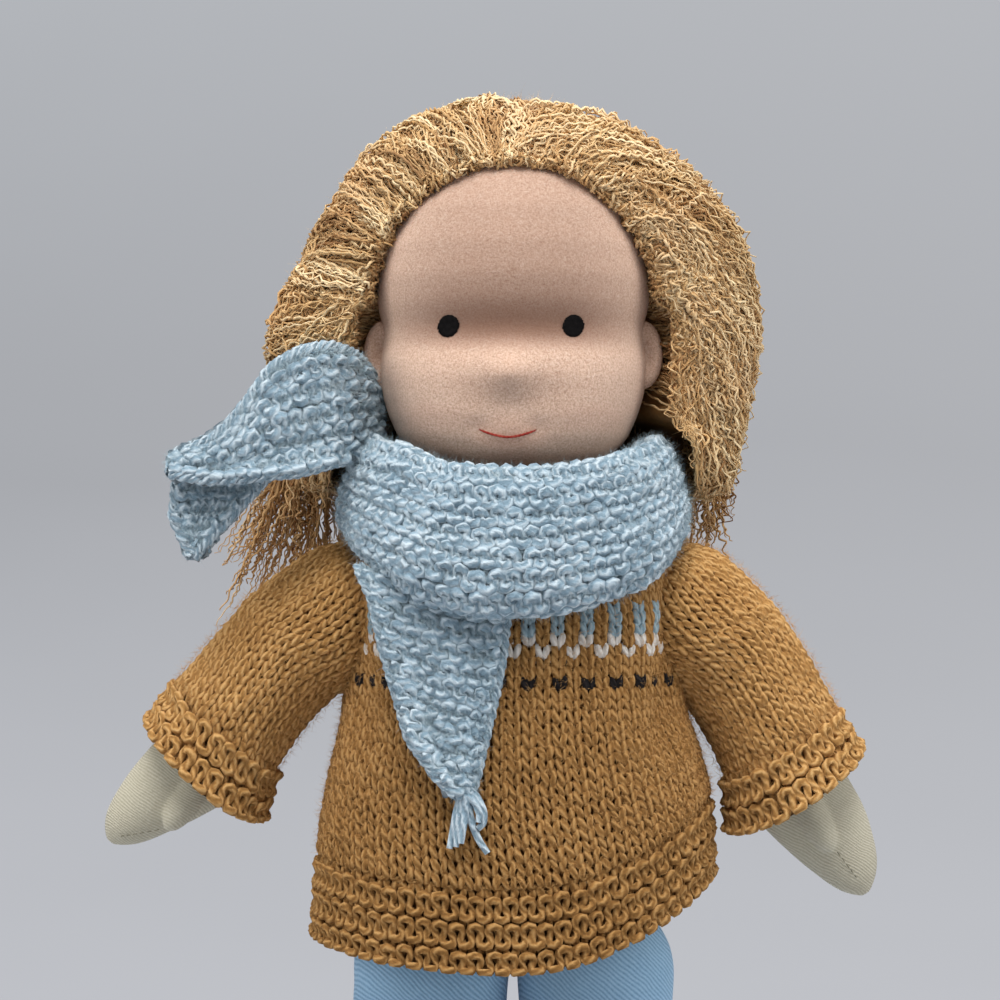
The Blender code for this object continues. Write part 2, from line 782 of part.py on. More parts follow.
def limb_ring(outward, reach, drop, half_across, half_depth, count=INNER_SIDES):
    """Level loop across a hanging arm."""
    centre = Vector((outward * reach, 0, -drop))
    return ring(centre, X_AXIS, Y_AXIS, half_across, half_depth, half_depth, count)


def sleeve_top_loops(outward):
    """Loops of the ball of the sleeve, from the opening that the tab passes through."""
    loops = []
    for degrees, share in zip(OPENING_ANGLES, OPENING_SHARES):
        turn = Matrix.Rotation(-outward * math.radians(degrees), 3, "Y")
        down = turn @ -Z_AXIS
        offset = SHOULDER_BALL_RADIUS * share
        reach = math.sqrt(SHOULDER_BALL_RADIUS**2 - offset**2)
        across = down.cross(Y_AXIS)
        loops.append(ring(down * -offset, across, Y_AXIS, reach, reach, reach, LIMB_SIDES))
    return loops


def make_sleeve(side_name, outward, arm):
    """Knitted sleeve with its ball top, and the flared cuff under it."""
    loops = sleeve_top_loops(outward)
    for drop, reach, radius in SLEEVE_SHARES:
        size = SLEEVE_RADIUS * radius
        place = (SLEEVE_RADIUS * reach, SLEEVE_LENGTH * drop)
        loops.append(limb_ring(outward, *place, size, size, LIMB_SIDES))
    end_reach, end_radius = SLEEVE_END_SHARES
    reach, size = SLEEVE_RADIUS * end_reach, SLEEVE_RADIUS * end_radius
    loops.append(limb_ring(outward, reach, SLEEVE_LENGTH, size, size, LIMB_SIDES))
    sleeve = add_piece(
        f"sleeve_{side_name}", skin_loops(loops, capped=False), "sweater", arm
    )
    give_wall(sleeve, KNIT_WALL)
    cuff_loops = []
    for share in (0.0, 0.45, 1.0):
        drop = SLEEVE_LENGTH + CLEAR + CUFF_LENGTH * share
        size = SLEEVE_RADIUS * end_radius + (CUFF_RADIUS - SLEEVE_RADIUS) * share
        loop = limb_ring(outward, reach * (1 - share), drop, size, size, LIMB_SIDES)
        cuff_loops.append([sink_front(point, share, size) for point in loop])
    cuff = add_piece(f"cuff_{side_name}", skin_loops(cuff_loops, capped=False), "sweater", arm)
    give_wall(cuff, KNIT_WALL)


def sink_front(point, share, size):
    """Let the front of the cuff's edge droop."""
    return point - Z_AXIS * (CUFF_DROP * share * max(0.0, -point.y / size))


# Stations of the arm: shares of its length, of the sleeve's bow, of half width and half depth
ARM_SHARES = (
    (0.13, 0.16, 1.09, 1.09),
    (0.30, 0.26, 1.00, 1.00),
    (0.47, 0.23, 0.92, 0.92),
    (WRIST_SHARE, 0.13, 0.78, 0.78),
)
HAND_SHARES = (
    (0.66, 0.10, 0.90, 1.08),
    (0.75, 0.10, 1.00, 1.02),
    (0.85, 0.13, 1.00, 0.97),
    (0.935, 0.15, 0.79, 0.80),
    (0.98, 0.16, 0.46, 0.50),
)
ARM_BALL_DEGREES = (60, 30, 0)
THUMB_PLACE_SHARES = (0.675, 0.34)
THUMB_LEAN = math.radians(32)


def arm_loops(outward):
    """Loops of the stuffed arm and mitten hand."""
    loops = []
    for degrees in ARM_BALL_DEGREES:
        latitude = math.radians(degrees)
        size = ARM_BALL_RADIUS * math.cos(latitude)
        rise = ARM_BALL_RADIUS * math.sin(latitude)
        loops.append(limb_ring(outward, 0, -rise, size, size))
    for table, half_width, half_depth in (
        (ARM_SHARES, ARM_RADIUS, ARM_RADIUS),
        (HAND_SHARES, HAND_HALF_WIDTH, HAND_HALF_DEPTH),
    ):
        for drop, bow, width, depth in table:
            place = (SLEEVE_RADIUS * bow, ARM_LENGTH * drop)
            loops.append(limb_ring(outward, *place, half_width * width, half_depth * depth))
    tip_reach = SLEEVE_RADIUS * HAND_SHARES[-1][1]
    loops.append([Vector((outward * tip_reach, 0, -ARM_LENGTH))])
    return loops


def make_arm(side_name, outward, arm):
    """Stuffed arm, its skin with the mitten hand, and the thumb sewn to it."""
    skin = add_piece(
        f"arm_skin_{side_name}", skin_loops(arm_loops(outward), capped=False), "hand", arm
    )
    give_wall(skin, SKIN_WALL)
    stuff(f"arm_core_{side_name}", arm_loops(outward), arm)
    seat = add_piece(f"thumb_seat_{side_name}", skin_loops(arm_loops(outward)), "wool", arm)
    as_cutter(seat, CLEAR)
    drop, reach = THUMB_PLACE_SHARES
    start = Vector((-outward * HAND_HALF_WIDTH * reach, 0, -ARM_LENGTH * drop))
    way = Matrix.Rotation(outward * THUMB_LEAN, 3, "Y") @ -Z_AXIS
    loops = []
    for share, width in ((0.0, 0.9), (0.45, 1.0), (0.8, 0.82), (0.95, 0.45)):
        size = THUMB_RADIUS * width
        centre = start + way * (THUMB_LENGTH * share)
        loops.append(ring(centre, way.cross(Y_AXIS), Y_AXIS, size, size, size, SMALL_SIDES))
    loops.append([start + way * THUMB_LENGTH])
    cut(add_piece(f"thumb_{side_name}", skin_loops(loops), "hand", arm), seat)


def make_tab(side_name, outward, shoulder):
    """Sewn tab between the torso and the arm's root, in the shoulder's frame."""
    torso_side = TORSO_HALF_WIDTH * TAB_SEAT_SHARE
    start = -outward * (SHOULDER_HALF_SPAN - torso_side - CLEAR)
    end = -outward * (ARM_BALL_RADIUS + CLEAR)
    loops = []
    for x in (start, end):
        centre = Vector((x, 0, 0))
        loops.append(
            ring(centre, Z_AXIS, Y_AXIS, TAB_RADIUS, TAB_RADIUS, TAB_RADIUS, SMALL_SIDES)
        )
    add_piece(f"shoulder_tab_{side_name}", skin_loops(loops), "skin", shoulder)


# Legs: shares of the leg's length from the hip down, of its radius at the hip, and depth
LEG_SHARES = ((0.0, 1.08, 1.0), (0.27, 0.95, 0.97), (0.55, 0.80, 0.82), (0.72, 0.70, 0.72))
THIGH_TOP_DEGREES = (65, 40, 18)
THIGH_TOP_POWER = 0.8
THIGH_POWER = 2.2
FOOT_POWER = 2.4
ANKLE_SHARE = 1.75
# Trouser leg: shares of its length, half width and half depth, with soft folds
TROUSER_SHARES = (
    (0.00, 1.00, 1.00),
    (0.14, 0.985, 0.99),
    (0.27, 0.93, 0.93),
    (0.36, 0.96, 0.98),
    (0.50, 0.88, 0.90),
    (0.60, 0.92, 0.95),
    (0.74, 0.86, 0.88),
    (0.83, 0.91, 0.95),
    (0.92, 0.90, 0.93),
    (1.00, 0.96, 0.99),
)
# Foot: degrees from the leg's line, then shares of foot length, height and width
FOOT_SHARES = (
    (25, -0.02, 1.15, 0.90, 0.57),
    (48, -0.01, 0.70, 0.97, 0.80),
    (68, 0.13, 0.57, 1.00, 0.64),
    (85, 0.36, 0.49, 1.03, 0.515),
    (90, 0.62, 0.44, 1.06, 0.465),
    (90, 0.84, 0.41, 0.93, 0.42),
    (90, 0.96, 0.38, 0.56, 0.27),
)


def leg_loops():
    """Loops of the stuffed leg and foot, in the hip's frame."""
    loops = []
    for degrees in THIGH_TOP_DEGREES:
        latitude = math.radians(degrees)
        size = LEG_RADIUS * math.cos(latitude)
        loops.append(level_ring(LEG_RADIUS * math.sin(latitude), size, size, size, INNER_SIDES))
    for down, width, depth in LEG_SHARES:
        half_width, half_depth = LEG_RADIUS * width, LEG_RADIUS * depth
        level = -HIP_HEIGHT * down
        loops.append(level_ring(level, half_width, half_depth, half_depth, INNER_SIDES))
    level = FOOT_HEIGHT * ANKLE_SHARE - HIP_HEIGHT
    loops.append(level_ring(level, ANKLE_RADIUS, ANKLE_RADIUS, ANKLE_RADIUS, INNER_SIDES))
    for degrees, forward, level, width, height in FOOT_SHARES:
        tilt = math.radians(degrees)
        along = Vector((0, math.cos(tilt), -math.sin(tilt)))
        centre = Vector((0, -FOOT_LENGTH * forward, FOOT_HEIGHT * level - HIP_HEIGHT))
        half_height = FOOT_HEIGHT * height + SOLE_CUT
        half_width = FOOT_HALF_WIDTH * width
        loops.append(
            ring(centre, X_AXIS, along, half_width, half_height, half_height, INNER_SIDES, FOOT_POWER)
        )
    toe = Vector((0, -FOOT_LENGTH, FOOT_HEIGHT * FOOT_SHARES[-1][2] - HIP_HEIGHT))
    return loops + [[toe]]


def make_leg(side_name, hip):
    """Leg core, leg skin with a flat sole, trouser leg and its turned-up hem."""
    skin = add_piece(f"leg_skin_{side_name}", skin_loops(leg_loops(), capped=False), "hand", hip)
    give_wall(skin, SKIN_WALL)
    reach = HIP_HEIGHT + OVERRUN
    low = Vector((-reach, -reach, -HIP_HEIGHT - OVERRUN))
    high = Vector((reach, reach, -HIP_HEIGHT))
    cut(skin, box_cutter(f"floor_{side_name}", low, high, hip, Vector()))
    stuff(f"leg_core_{side_name}", leg_loops(), hip)
    loops = [[Z_AXIS * THIGH_HALF_DEPTH]]
    for degrees in THIGH_TOP_DEGREES:
        latitude = math.radians(degrees)
        depth = THIGH_HALF_DEPTH * math.cos(latitude)
        width = THIGH_HALF_WIDTH * math.cos(latitude) ** THIGH_TOP_POWER
        level = THIGH_HALF_DEPTH * math.sin(latitude)
        loops.append(level_ring(level, width, depth, depth, LIMB_SIDES, power=THIGH_POWER))
    length = HIP_HEIGHT - TROUSER_TO_FLOOR - TURN_UP_HEIGHT
    for down, width, depth in TROUSER_SHARES:
        half_width, half_depth = THIGH_HALF_WIDTH * width, THIGH_HALF_DEPTH * depth
        level = -length * down
        loops.append(
            level_ring(level, half_width, half_depth, half_depth, LIMB_SIDES, power=THIGH_POWER)
        )
    trouser = add_piece(
        f"trouser_leg_{side_name}", skin_loops(loops, capped=False), "twill", hip
    )
    give_wall(trouser, TWILL_WALL)
    _, width, depth = TROUSER_SHARES[-1]
    turn_up_loops = []
    for share in (0.0, 1.0):
        level = -length - CLEAR - (TURN_UP_HEIGHT - CLEAR) * share
        half_width, half_depth = THIGH_HALF_WIDTH * width, THIGH_HALF_DEPTH * depth
        turn_up_loops.append(
            level_ring(level, half_width, half_depth, half_depth, LIMB_SIDES, power=THIGH_POWER)
        )
    turn_up = skin_loops(turn_up_loops, capped=False)
    give_wall(add_piece(f"turn_up_{side_name}", turn_up, "twill", hip), TWILL_WALL * 2)


# Seat: shares of half width and half depth, from its lower edge up in even steps
SEAT_SHARES = ((1.0, 1.0), (1.06, 1.08), (0.99, 1.012))
SEAT_LOOSENESS = 0.003


def make_seat(doll):
    """Seat of the trousers round the torso, and the waistband above it."""
    base = TORSO_BOTTOM
    seat_end = base + SEAT_HEIGHT
    band_end = seat_end + WAISTBAND_HEIGHT
    spans = (
        ("trouser_seat", base, seat_end - CLEAR, TWILL_WALL, SEAT_SHARES),
        ("waistband", seat_end, band_end, TWILL_WALL * 2, SEAT_SHARES[-1:] * 2),
    )
    for name, low, high, wall, table in spans:
        loops = []
        for index, (width, depth) in enumerate(table):
            level = low + (high - low) * index / (len(table) - 1)
            half_width = (TORSO_HALF_WIDTH + SEAT_LOOSENESS) * width
            half_depth = (TORSO_HALF_DEPTH + SEAT_LOOSENESS) * depth
            size = (half_width, half_depth, half_depth)
            loops.append(level_ring(level, *size, SEAT_SIDES, power=TORSO_POWER))
        mesh = skin_loops(loops, capped=False)
        give_wall(add_piece(name, mesh, "twill", doll), wall)


# Scarf wrap: shares down its height, of its outer reach
WRAP_SHARES = (
    (0.0, 0.87),
    (0.16, 0.915),
    (0.36, 0.95),
    (0.48, 0.955),
    (0.68, 1.0),
    (0.88, 1.0),
    (1.0, 0.965),
)
WRAP_FRONT_LOW = 0.0505
WRAP_SIDE_LOW = 0.0265
WRAP_BACK_LOW = 0.0265
WRAP_FRONT_TOP = 0.0085
WRAP_SIDE_TOP = 0.0
WRAP_BACK_TOP = 0.013
WRAP_FRONT_POWER = 1.6
WRAP_SIDES = 26


def wrap_edges(angle):
    """Heights of the wrap's top and lower edge at an angle round the neck."""
    frontness = max(0.0, -math.sin(angle)) ** WRAP_FRONT_POWER
    backness = max(0.0, math.sin(angle))
    low = WRAP_SIDE_LOW + (WRAP_FRONT_LOW - WRAP_SIDE_LOW) * frontness
    low += (WRAP_BACK_LOW - WRAP_SIDE_LOW) * backness
    top = WRAP_SIDE_TOP + (WRAP_FRONT_TOP - WRAP_SIDE_TOP) * frontness
    top += (WRAP_BACK_TOP - WRAP_SIDE_TOP) * backness
    return NOD_HEIGHT - top, NOD_HEIGHT - low


def wrap_point(step, share, reach, inset):
    """Point of the wrap's face at a step round the neck and a share down its height."""
    angle = spaced_angle(step, WRAP_SIDES, 0)
    top, low = wrap_edges(angle)
    side = shaped(math.cos(angle), SCARF_POWER) * (SCARF_HALF_WIDTH * reach - inset)
    depth = SCARF_BACK if math.sin(angle) > 0 else SCARF_FRONT
    along = shaped(math.sin(angle), SCARF_POWER) * (depth * reach - inset)
    return Vector((side, along, top + (low - top) * share))


def make_wrap(doll):
    """Rolled and folded wrap of the scarf round the neck."""
    loops = []
    for inset, table in ((0.0, WRAP_SHARES), (SCARF_WALL, WRAP_SHARES[::-1])):
        for share, reach in table:
            loops.append([wrap_point(step, share, reach, inset) for step in range(WRAP_SIDES)])
    add_piece("scarf_wrap", skin_loops(loops, round_again=True), "scarf", doll)


def wrap_low_at(x):
    """Height of the wrap's lower edge in front, at x."""
    share = shaped(max(-1.0, min(1.0, x / SCARF_HALF_WIDTH)), 2 / SCARF_POWER * 2)
    return wrap_edges(-math.acos(share))[1]


# Front tail: shares down its length, of its left and right edge across the scarf's half width
FRONT_TAIL_SHARES = (
    (0.00, -0.90, -0.04),
    (0.13, -0.80, -0.055),
    (0.35, -0.735, -0.085),
    (0.58, -0.65, -0.14),
    (0.74, -0.58, -0.19),
    (0.91, -0.43, -0.225),
    (1.00, -0.34, -0.25),
)
FOLD_RISE = 0.0012
DRAPE_SPREAD = 1.3
TASSEL_LEAN_SHARE = 0.2


def sheet_solid(grid):
    """Closed solid between the two faces of a grid of point pairs."""
    mesh = bmesh.new()
    faces = [[[mesh.verts.new(pair[k]) for pair in row] for row in grid] for k in (0, 1)]
    rows, columns = len(grid), len(grid[0])
    for face in faces:
        for r in range(rows - 1):
            for c in range(columns - 1):
                mesh.faces.new((face[r][c], face[r][c + 1], face[r + 1][c + 1], face[r + 1][c]))
    rim = [(0, c) for c in range(columns)] + [(r, columns - 1) for r in range(1, rows)]
    rim += [(rows - 1, c) for c in range(columns - 2, -1, -1)]
    rim += [(r, 0) for r in range(rows - 2, 0, -1)]
    front, back = faces
    for (r, c), (s, d) in zip(rim, rim[1:] + rim[:1]):
        mesh.faces.new((front[r][c], front[s][d], back[s][d], back[r][c]))
    bmesh.ops.recalc_face_normals(mesh, faces=mesh.faces)
    return mesh


def drape_front(x, z):
    """How far before the middle plane cloth lies that hangs flatter than the sweater curves."""
    width, front, _ = between(SWEATER_SHARES, sweater_share(z))
    share = min(1.0, abs(x) / (SHOULDER_HALF_SPAN * width * DRAPE_SPREAD))
    return SWEATER_FRONT * front * (1 - share**SWEATER_POWER) ** (1 / SWEATER_POWER)


def make_front_tail(doll):
    """Tail that hangs from under the wrap over the sweater's front, with two soft folds."""
    columns = 9
    low_tip = NOD_HEIGHT - WRAP_FRONT_LOW - FRONT_TAIL_LENGTH
    grid = []
    for share, left, right in FRONT_TAIL_SHARES:
        row = []
        for step in range(columns):
            part = step / (columns - 1)
            x = SCARF_HALF_WIDTH * (left + (right - left) * part)
            top = wrap_low_at(x) - CLEAR
            z = top + (low_tip - top) * share
            back = drape_front(x, z) + CLEAR + FOLD_RISE
            fold = FOLD_RISE * math.sin(math.tau * 2 * part) * share
            face = Vector((x, -back - FRONT_TAIL_WALL + fold, z))
            row.append((face, Vector((x, -back + fold / 2, z))))
        grid.append(row)
    add_piece("scarf_front_tail", sheet_solid(grid), "scarf", doll)
    tip_x = SCARF_HALF_WIDTH * (FRONT_TAIL_SHARES[-1][1] + FRONT_TAIL_SHARES[-1][2]) / 2
    tip_y = -drape_front(tip_x, low_tip) - FRONT_TAIL_WALL
    points, radii = [], []
    for share, size in ((0.0, 0.55), (0.25, 0.9), (0.6, 1.0), (0.85, 0.85), (1.0, 0.5)):
        drop = TASSEL_LENGTH * share
        points.append(Vector((tip_x - drop * TASSEL_LEAN_SHARE, tip_y, low_tip - CLEAR - drop)))
        radii.append(size)
    add_cord("scarf_tassel", points, TASSEL_RADIUS, "scarf", doll, radii)


# Side tail: shares out from its root, of its top and lower edge, and of its way to the front
SIDE_TAIL_SHARES = (
    (0.00, 0.25, -0.025, 0.44),
    (0.06, 0.34, -0.025, 0.44),
    (0.13, 0.41, -0.100, 0.46),
    (0.23, 0.43, -0.122, 0.52),
    (0.36, 0.43, -0.158, 0.58),
    (0.50, 0.35, -0.166, 0.62),
    (0.63, 0.19, -0.201, 0.60),
    (0.76, 0.03, -0.333, 0.57),
    (0.88, -0.03, -0.542, 0.54),
    (0.95, -0.06, -0.560, 0.52),
    (1.00, -0.10, -0.402, 0.50),
)
SIDE_TAIL_ROOT = 0.0365


def make_side_tail(doll):
    """Tail that leaves the wrap behind the cheek and stands out over the right shoulder."""
    rows = 6
    grid = []
    for out, top, low, front in SIDE_TAIL_SHARES:
        x = -SIDE_TAIL_ROOT - SIDE_TAIL_LENGTH * out
        row = []
        for step in range(rows):
            part = step / (rows - 1)
            z = NOD_HEIGHT + SIDE_TAIL_LENGTH * (top + (low - top) * part)
            fold = FOLD_RISE * math.sin(math.pi * 3 * part) * out
            y = -SCARF_FRONT * front + fold
            middle = Vector((x, y, z))
            half = Y_AXIS * (SIDE_TAIL_WALL / 2)
            row.append((middle - half, middle + half))
        grid.append(row)
    add_piece("scarf_side_tail", sheet_solid(grid), "scarf", doll)


def clear_scene():
    """Remove what the scene holds."""
    for item in list(bpy.data.objects):
        bpy.data.objects.remove(item, do_unlink=True)


def centre_on_footprint(doll):
    """Move the doll so that the middle of its outer box stands over the origin."""
    bpy.context.view_layer.update()
    graph = bpy.context.evaluated_depsgraph_get()
    xs, ys = [], []
    for item in bpy.context.scene.objects:
        if item.type not in ("MESH", "CURVE") or item.hide_render:
            continue
        shown = item.evaluated_get(graph)
        data = shown.to_mesh()
        for vertex in data.vertices:
            point = shown.matrix_world @ vertex.co
            xs.append(point.x)
            ys.append(point.y)
        shown.to_mesh_clear()
    doll.location.x -= (min(xs) + max(xs)) / 2
    doll.location.y -= (min(ys) + max(ys)) / 2


def main():
    """Build the doll from the inside out."""
    clear_scene()
    doll = add_joint("doll", Vector(), None)
    make_torso(doll)
    make_seat(doll)
    make_sweater(doll)
    make_wrap(doll)
    make_front_tail(doll)
    make_side_tail(doll)
    nod = Vector((0, 0, NOD_HEIGHT))
    neck = add_joint("neck_joint", nod, doll)
    make_neck(neck, nod)
    head = add_joint("head_joint", Vector(), neck)
    make_head(head, nod)
    make_hair(head, nod)
    for side_name, outward in (("right", -1), ("left", 1)):
        place = Vector((outward * SHOULDER_HALF_SPAN, 0, SHOULDER_HEIGHT))
        shoulder = add_joint(f"shoulder_joint_{side_name}", place, doll)
        make_tab(side_name, outward, shoulder)
        turn = -outward * ARM_REST[side_name]
        arm = add_joint(f"arm_joint_{side_name}", Vector(), shoulder, turn)
        make_arm(side_name, outward, arm)
        make_sleeve(side_name, outward, arm)
        hip_place = Vector((outward * HIP_HALF_SPAN, 0, HIP_HEIGHT))
        make_leg(side_name, add_joint(f"hip_joint_{side_name}", hip_place, doll))
    centre_on_footprint(doll)


main()
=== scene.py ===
"""The sewn doll in its knitted sweater and scarf, modelled stitch by stitch and strand by strand."""

import json
import math

import bmesh
import bpy
import numpy as np
from mathutils import Matrix, Vector


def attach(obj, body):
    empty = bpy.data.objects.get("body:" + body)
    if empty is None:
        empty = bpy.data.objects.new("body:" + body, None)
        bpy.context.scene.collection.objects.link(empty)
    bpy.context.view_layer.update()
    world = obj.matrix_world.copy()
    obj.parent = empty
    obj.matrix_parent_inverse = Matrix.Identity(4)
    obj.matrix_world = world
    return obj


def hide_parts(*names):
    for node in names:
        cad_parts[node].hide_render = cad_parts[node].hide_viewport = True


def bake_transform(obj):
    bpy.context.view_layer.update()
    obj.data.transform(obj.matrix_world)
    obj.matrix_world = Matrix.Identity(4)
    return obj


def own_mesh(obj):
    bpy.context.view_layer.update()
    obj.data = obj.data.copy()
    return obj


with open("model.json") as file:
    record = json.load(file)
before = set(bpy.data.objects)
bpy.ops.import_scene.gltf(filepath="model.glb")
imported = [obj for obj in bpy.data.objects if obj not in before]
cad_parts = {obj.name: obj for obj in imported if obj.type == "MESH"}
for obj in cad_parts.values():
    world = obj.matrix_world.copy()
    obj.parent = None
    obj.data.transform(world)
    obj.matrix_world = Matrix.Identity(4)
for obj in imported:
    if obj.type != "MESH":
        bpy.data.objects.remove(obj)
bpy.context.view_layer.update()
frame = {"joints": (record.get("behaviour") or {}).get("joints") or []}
PLACES = {joint["name"]: np.array(joint["pos_m"]) for joint in frame["joints"]}
AHEAD = np.array([0, -1.0, 0])
LEVEL = np.array([1, 1, 0])
HOME = PLACES["head_turn"] * LEVEL
NOD = PLACES["head_turn"][2]
RANDOM = np.random.default_rng(11)
FACES_PER_PIECE = 95000

# ---------------------------------------------------------------- meshes


def unit(vectors):
    """Vectors of length one."""
    return vectors / np.maximum(np.linalg.norm(vectors, axis=-1, keepdims=True), 1e-12)


def add_object(name, data):
    """Object with its data, linked to the scene."""
    made = bpy.data.objects.new(name, data)
    bpy.context.scene.collection.objects.link(made)
    return made


def add_mesh(name, points, quads, material, uv=None, tone=None):
    """Mesh object from arrays, in the doll's own frame, moved to where the doll stands."""
    used, quads = np.unique(quads, return_inverse=True)
    quads = quads.reshape(-1, 4)
    points = points.reshape(-1, 3)[used] + HOME
    mesh = bpy.data.meshes.new(name)
    mesh.vertices.add(len(points))
    mesh.vertices.foreach_set("co", points.astype(np.float32).ravel())
    mesh.loops.add(quads.size)
    mesh.loops.foreach_set("vertex_index", quads.astype(np.int32).ravel())
    mesh.polygons.add(len(quads))
    mesh.polygons.foreach_set("loop_start", np.arange(0, quads.size, 4, dtype=np.int32))
    mesh.update(calc_edges=True)
    mesh.polygons.foreach_set("use_smooth", np.full(len(quads), True))
    if uv is not None:
        layer = mesh.uv_layers.new(name="along")
        layer.data.foreach_set("uv", uv.astype(np.float32).ravel())
    if tone is not None:
        values = mesh.attributes.new("tone", "FLOAT", "POINT")
        values.data.foreach_set("value", tone.ravel()[used].astype(np.float32))
    mesh.materials.append(material)
    return add_object(name, mesh)


def tubes(paths, sideways, radii, sides, closed=False):
    """Round skins along paths. Returns points, quads with a (path, segment, side) layout, and uv."""
    after = np.roll(paths, -1, axis=1)
    before = np.roll(paths, 1, axis=1)
    if not closed:
        after[:, -1] = paths[:, -1]
        before[:, 0] = paths[:, 0]
    along = unit(after - before)
    across = unit(np.cross(along, sideways))
    outward = np.cross(across, along)
    turns = np.arange(sides) * math.tau / sides
    ring = np.cos(turns)[:, None] * outward[:, :, None] + np.sin(turns)[:, None] * across[:, :,
        None]
    radii = np.broadcast_to(radii, paths.shape[:2])
    points = paths[:, :, None] + ring * radii[:, :, None, None]
    count, steps = paths.shape[:2]
    spans = steps if closed else steps - 1
    index = np.arange(count * steps * sides).reshape(count, steps, sides)
    low = index[:, :spans]
    high = np.roll(index, -1, axis=1)[:, :spans]
    quads = np.stack([low, np.roll(low, -1, axis=2), np.roll(high, -1, axis=2), high], axis=-1)
    lengths = np.linalg.norm(np.diff(paths, axis=1), axis=-1)
    run = np.concatenate([np.zeros((count, 1)), np.cumsum(lengths, axis=1)], axis=1)
    if closed:
        gap = np.linalg.norm(paths[:, 0] - paths[:, -1], axis=-1)[:, None]
        run = np.concatenate([run, run[:, -1:] + gap], axis=1)
    low_u = run[:, :spans, None]
    high_u = run[:, 1 : spans + 1, None]
    side = np.arange(sides) / sides
    zero = np.zeros((count, spans, sides))
    corners = ((low_u, side), (low_u, side + 1 / sides), (high_u, side + 1 / sides), (high_u, side))
    return points, quads, np.stack([np.stack([zero + u, zero + v], -1) for u, v in corners],
        axis=-2)


def add_tubes(name, paths, sideways, radii, sides, material):
    """Mesh of round skins along paths."""
    points, quads, uv = tubes(paths, np.broadcast_to(sideways, paths.shape), radii, sides)
    return add_mesh(name, points, quads, material, uv)


def grid_quads(rows, columns, closed):
    """Quads over a grid of points."""
    index = np.arange(rows * columns).reshape(rows, columns)
    right = np.roll(index, -1, axis=1)
    if not closed:
        index, right = index[:, :-1], right[:, :-1]
    return np.stack([index[:-1], right[:-1], right[1:], index[1:]], axis=-1).reshape(-1, 4)


def add_grid(name, grid, material, closed=True, tone=None):
    """Mesh over a grid of points."""
    return add_mesh(name, grid, grid_quads(*grid.shape[:2], closed), material, tone=tone)


def smoothed(values, passes, closed=False):
    """Values averaged with their neighbours along the first axis, ends kept."""
    for _ in range(passes):
        if closed:
            values = (np.roll(values, 1, 0) + 2 * values + np.roll(values, -1, 0)) / 4
        else:
            inner = (values[:-2] + 2 * values[1:-1] + values[2:]) / 4
            values = np.concatenate([values[:1], inner, values[-1:]])
    return values


def columns_at(places, run, columns):
    """Each column of values, which lie at rising distances, read at places."""
    return np.stack([np.interp(places, run, column) for column in columns.T], axis=-1)


def read(table, places):
    """Columns of a table, but for its rising first one, read at places of that first one."""
    return columns_at(places, table[:, 0], table[:, 1:])


def distances(path):
    """Distance of each point of a path from its start."""
    return np.concatenate([[0], np.cumsum(np.linalg.norm(np.diff(path, axis=0), axis=1))])


def wave_noise(points, scale, seed):
    """Smooth noise from -1 to 1 over points, made of a few slanted waves."""
    maker = np.random.default_rng(seed)
    total = np.zeros(points.shape[:-1])
    for octave in range(4):
        for _ in range(3):
            way = unit(maker.normal(size=3)) * scale * 1.7**octave
            total += np.sin(points @ way * math.tau + maker.uniform(0, math.tau)) / 1.6**octave
    return total / 5


class Surface:
    """A sheet through a grid of points: first axis up the cloth, second axis round or across it."""

    def __init__(self, grid, closed, outside=None):
        self.grid = grid
        self.closed = closed
        up = np.gradient(grid, axis=0)
        if closed:
            across = np.roll(grid, -1, 1) - np.roll(grid, 1, 1)
        else:
            across = np.gradient(grid, axis=1)
        normal = unit(np.cross(up, across))
        if outside is None:
            outside = grid - grid.mean((0, 1))
        if (normal * outside).sum() < 0:
            normal = -normal
        self.normal = normal

    def at(self, u, v, lift=0.0):
        """Points at u, v from 0 to 1 over the grid, lifted off it."""
        rows, columns = self.grid.shape[:2]
        row = np.clip(v, 0, 1) * (rows - 1)
        low_row = np.minimum(row.astype(int), rows - 2)
        row_part = (row - low_row)[..., None]
        if self.closed:
            column = np.mod(u, 1) * columns
            low_column = column.astype(int) % columns
            high_column = (low_column + 1) % columns
            column_part = (column - np.floor(column))[..., None]
        else:
            column = np.clip(u, 0, 1) * (columns - 1)
            low_column = np.minimum(column.astype(int), columns - 2)
            high_column = low_column + 1
            column_part = (column - low_column)[..., None]

        def across(table, row):
            low, high = table[row, low_column], table[row, high_column]
            return low * (1 - column_part) + high * column_part

        def mixed(table):
            return across(table, low_row) * (1 - row_part) + across(table, low_row + 1) * row_part

        normal = unit(mixed(self.normal))
        return mixed(self.grid) + normal * np.asarray(lift)[..., None], normal


def even_loop(loop, count):
    """A closed loop of points spaced evenly along its length."""
    closed = np.concatenate([loop, loop[:1]])
    run = distances(closed)
    return columns_at(np.arange(count) * run[-1] / count, run, closed)


def even_rows(grid, count):
    """A grid resampled up each column so that its rows lie evenly along the mean length."""
    steps = np.linalg.norm(np.diff(grid, axis=0), axis=-1).mean(1)
    run = np.concatenate([[0], np.cumsum(steps)])
    made = columns_at(np.linspace(0, run[-1], count), run, grid.reshape(len(grid), -1))
    return made.reshape(count, *grid.shape[1:]), run[-1]


def oval(half_width, front, back, power, count=240):
    """Level outline from the middle of the back round by the doll's left side."""
    angle = np.arange(count) * math.tau / count
    side = np.sign(np.sin(angle)) * np.abs(np.sin(angle)) ** (2 / power)
    depth = np.sign(np.cos(angle)) * np.abs(np.cos(angle)) ** (2 / power)
    return side * half_width, depth * np.where(depth > 0, back, front)


def level_ring(height, half_width, front, back, power, count):
    """Oval of points at one height."""
    x, y = oval(half_width, front, back, power, count)
    return np.stack([x, y, np.full(count, height)], axis=-1)


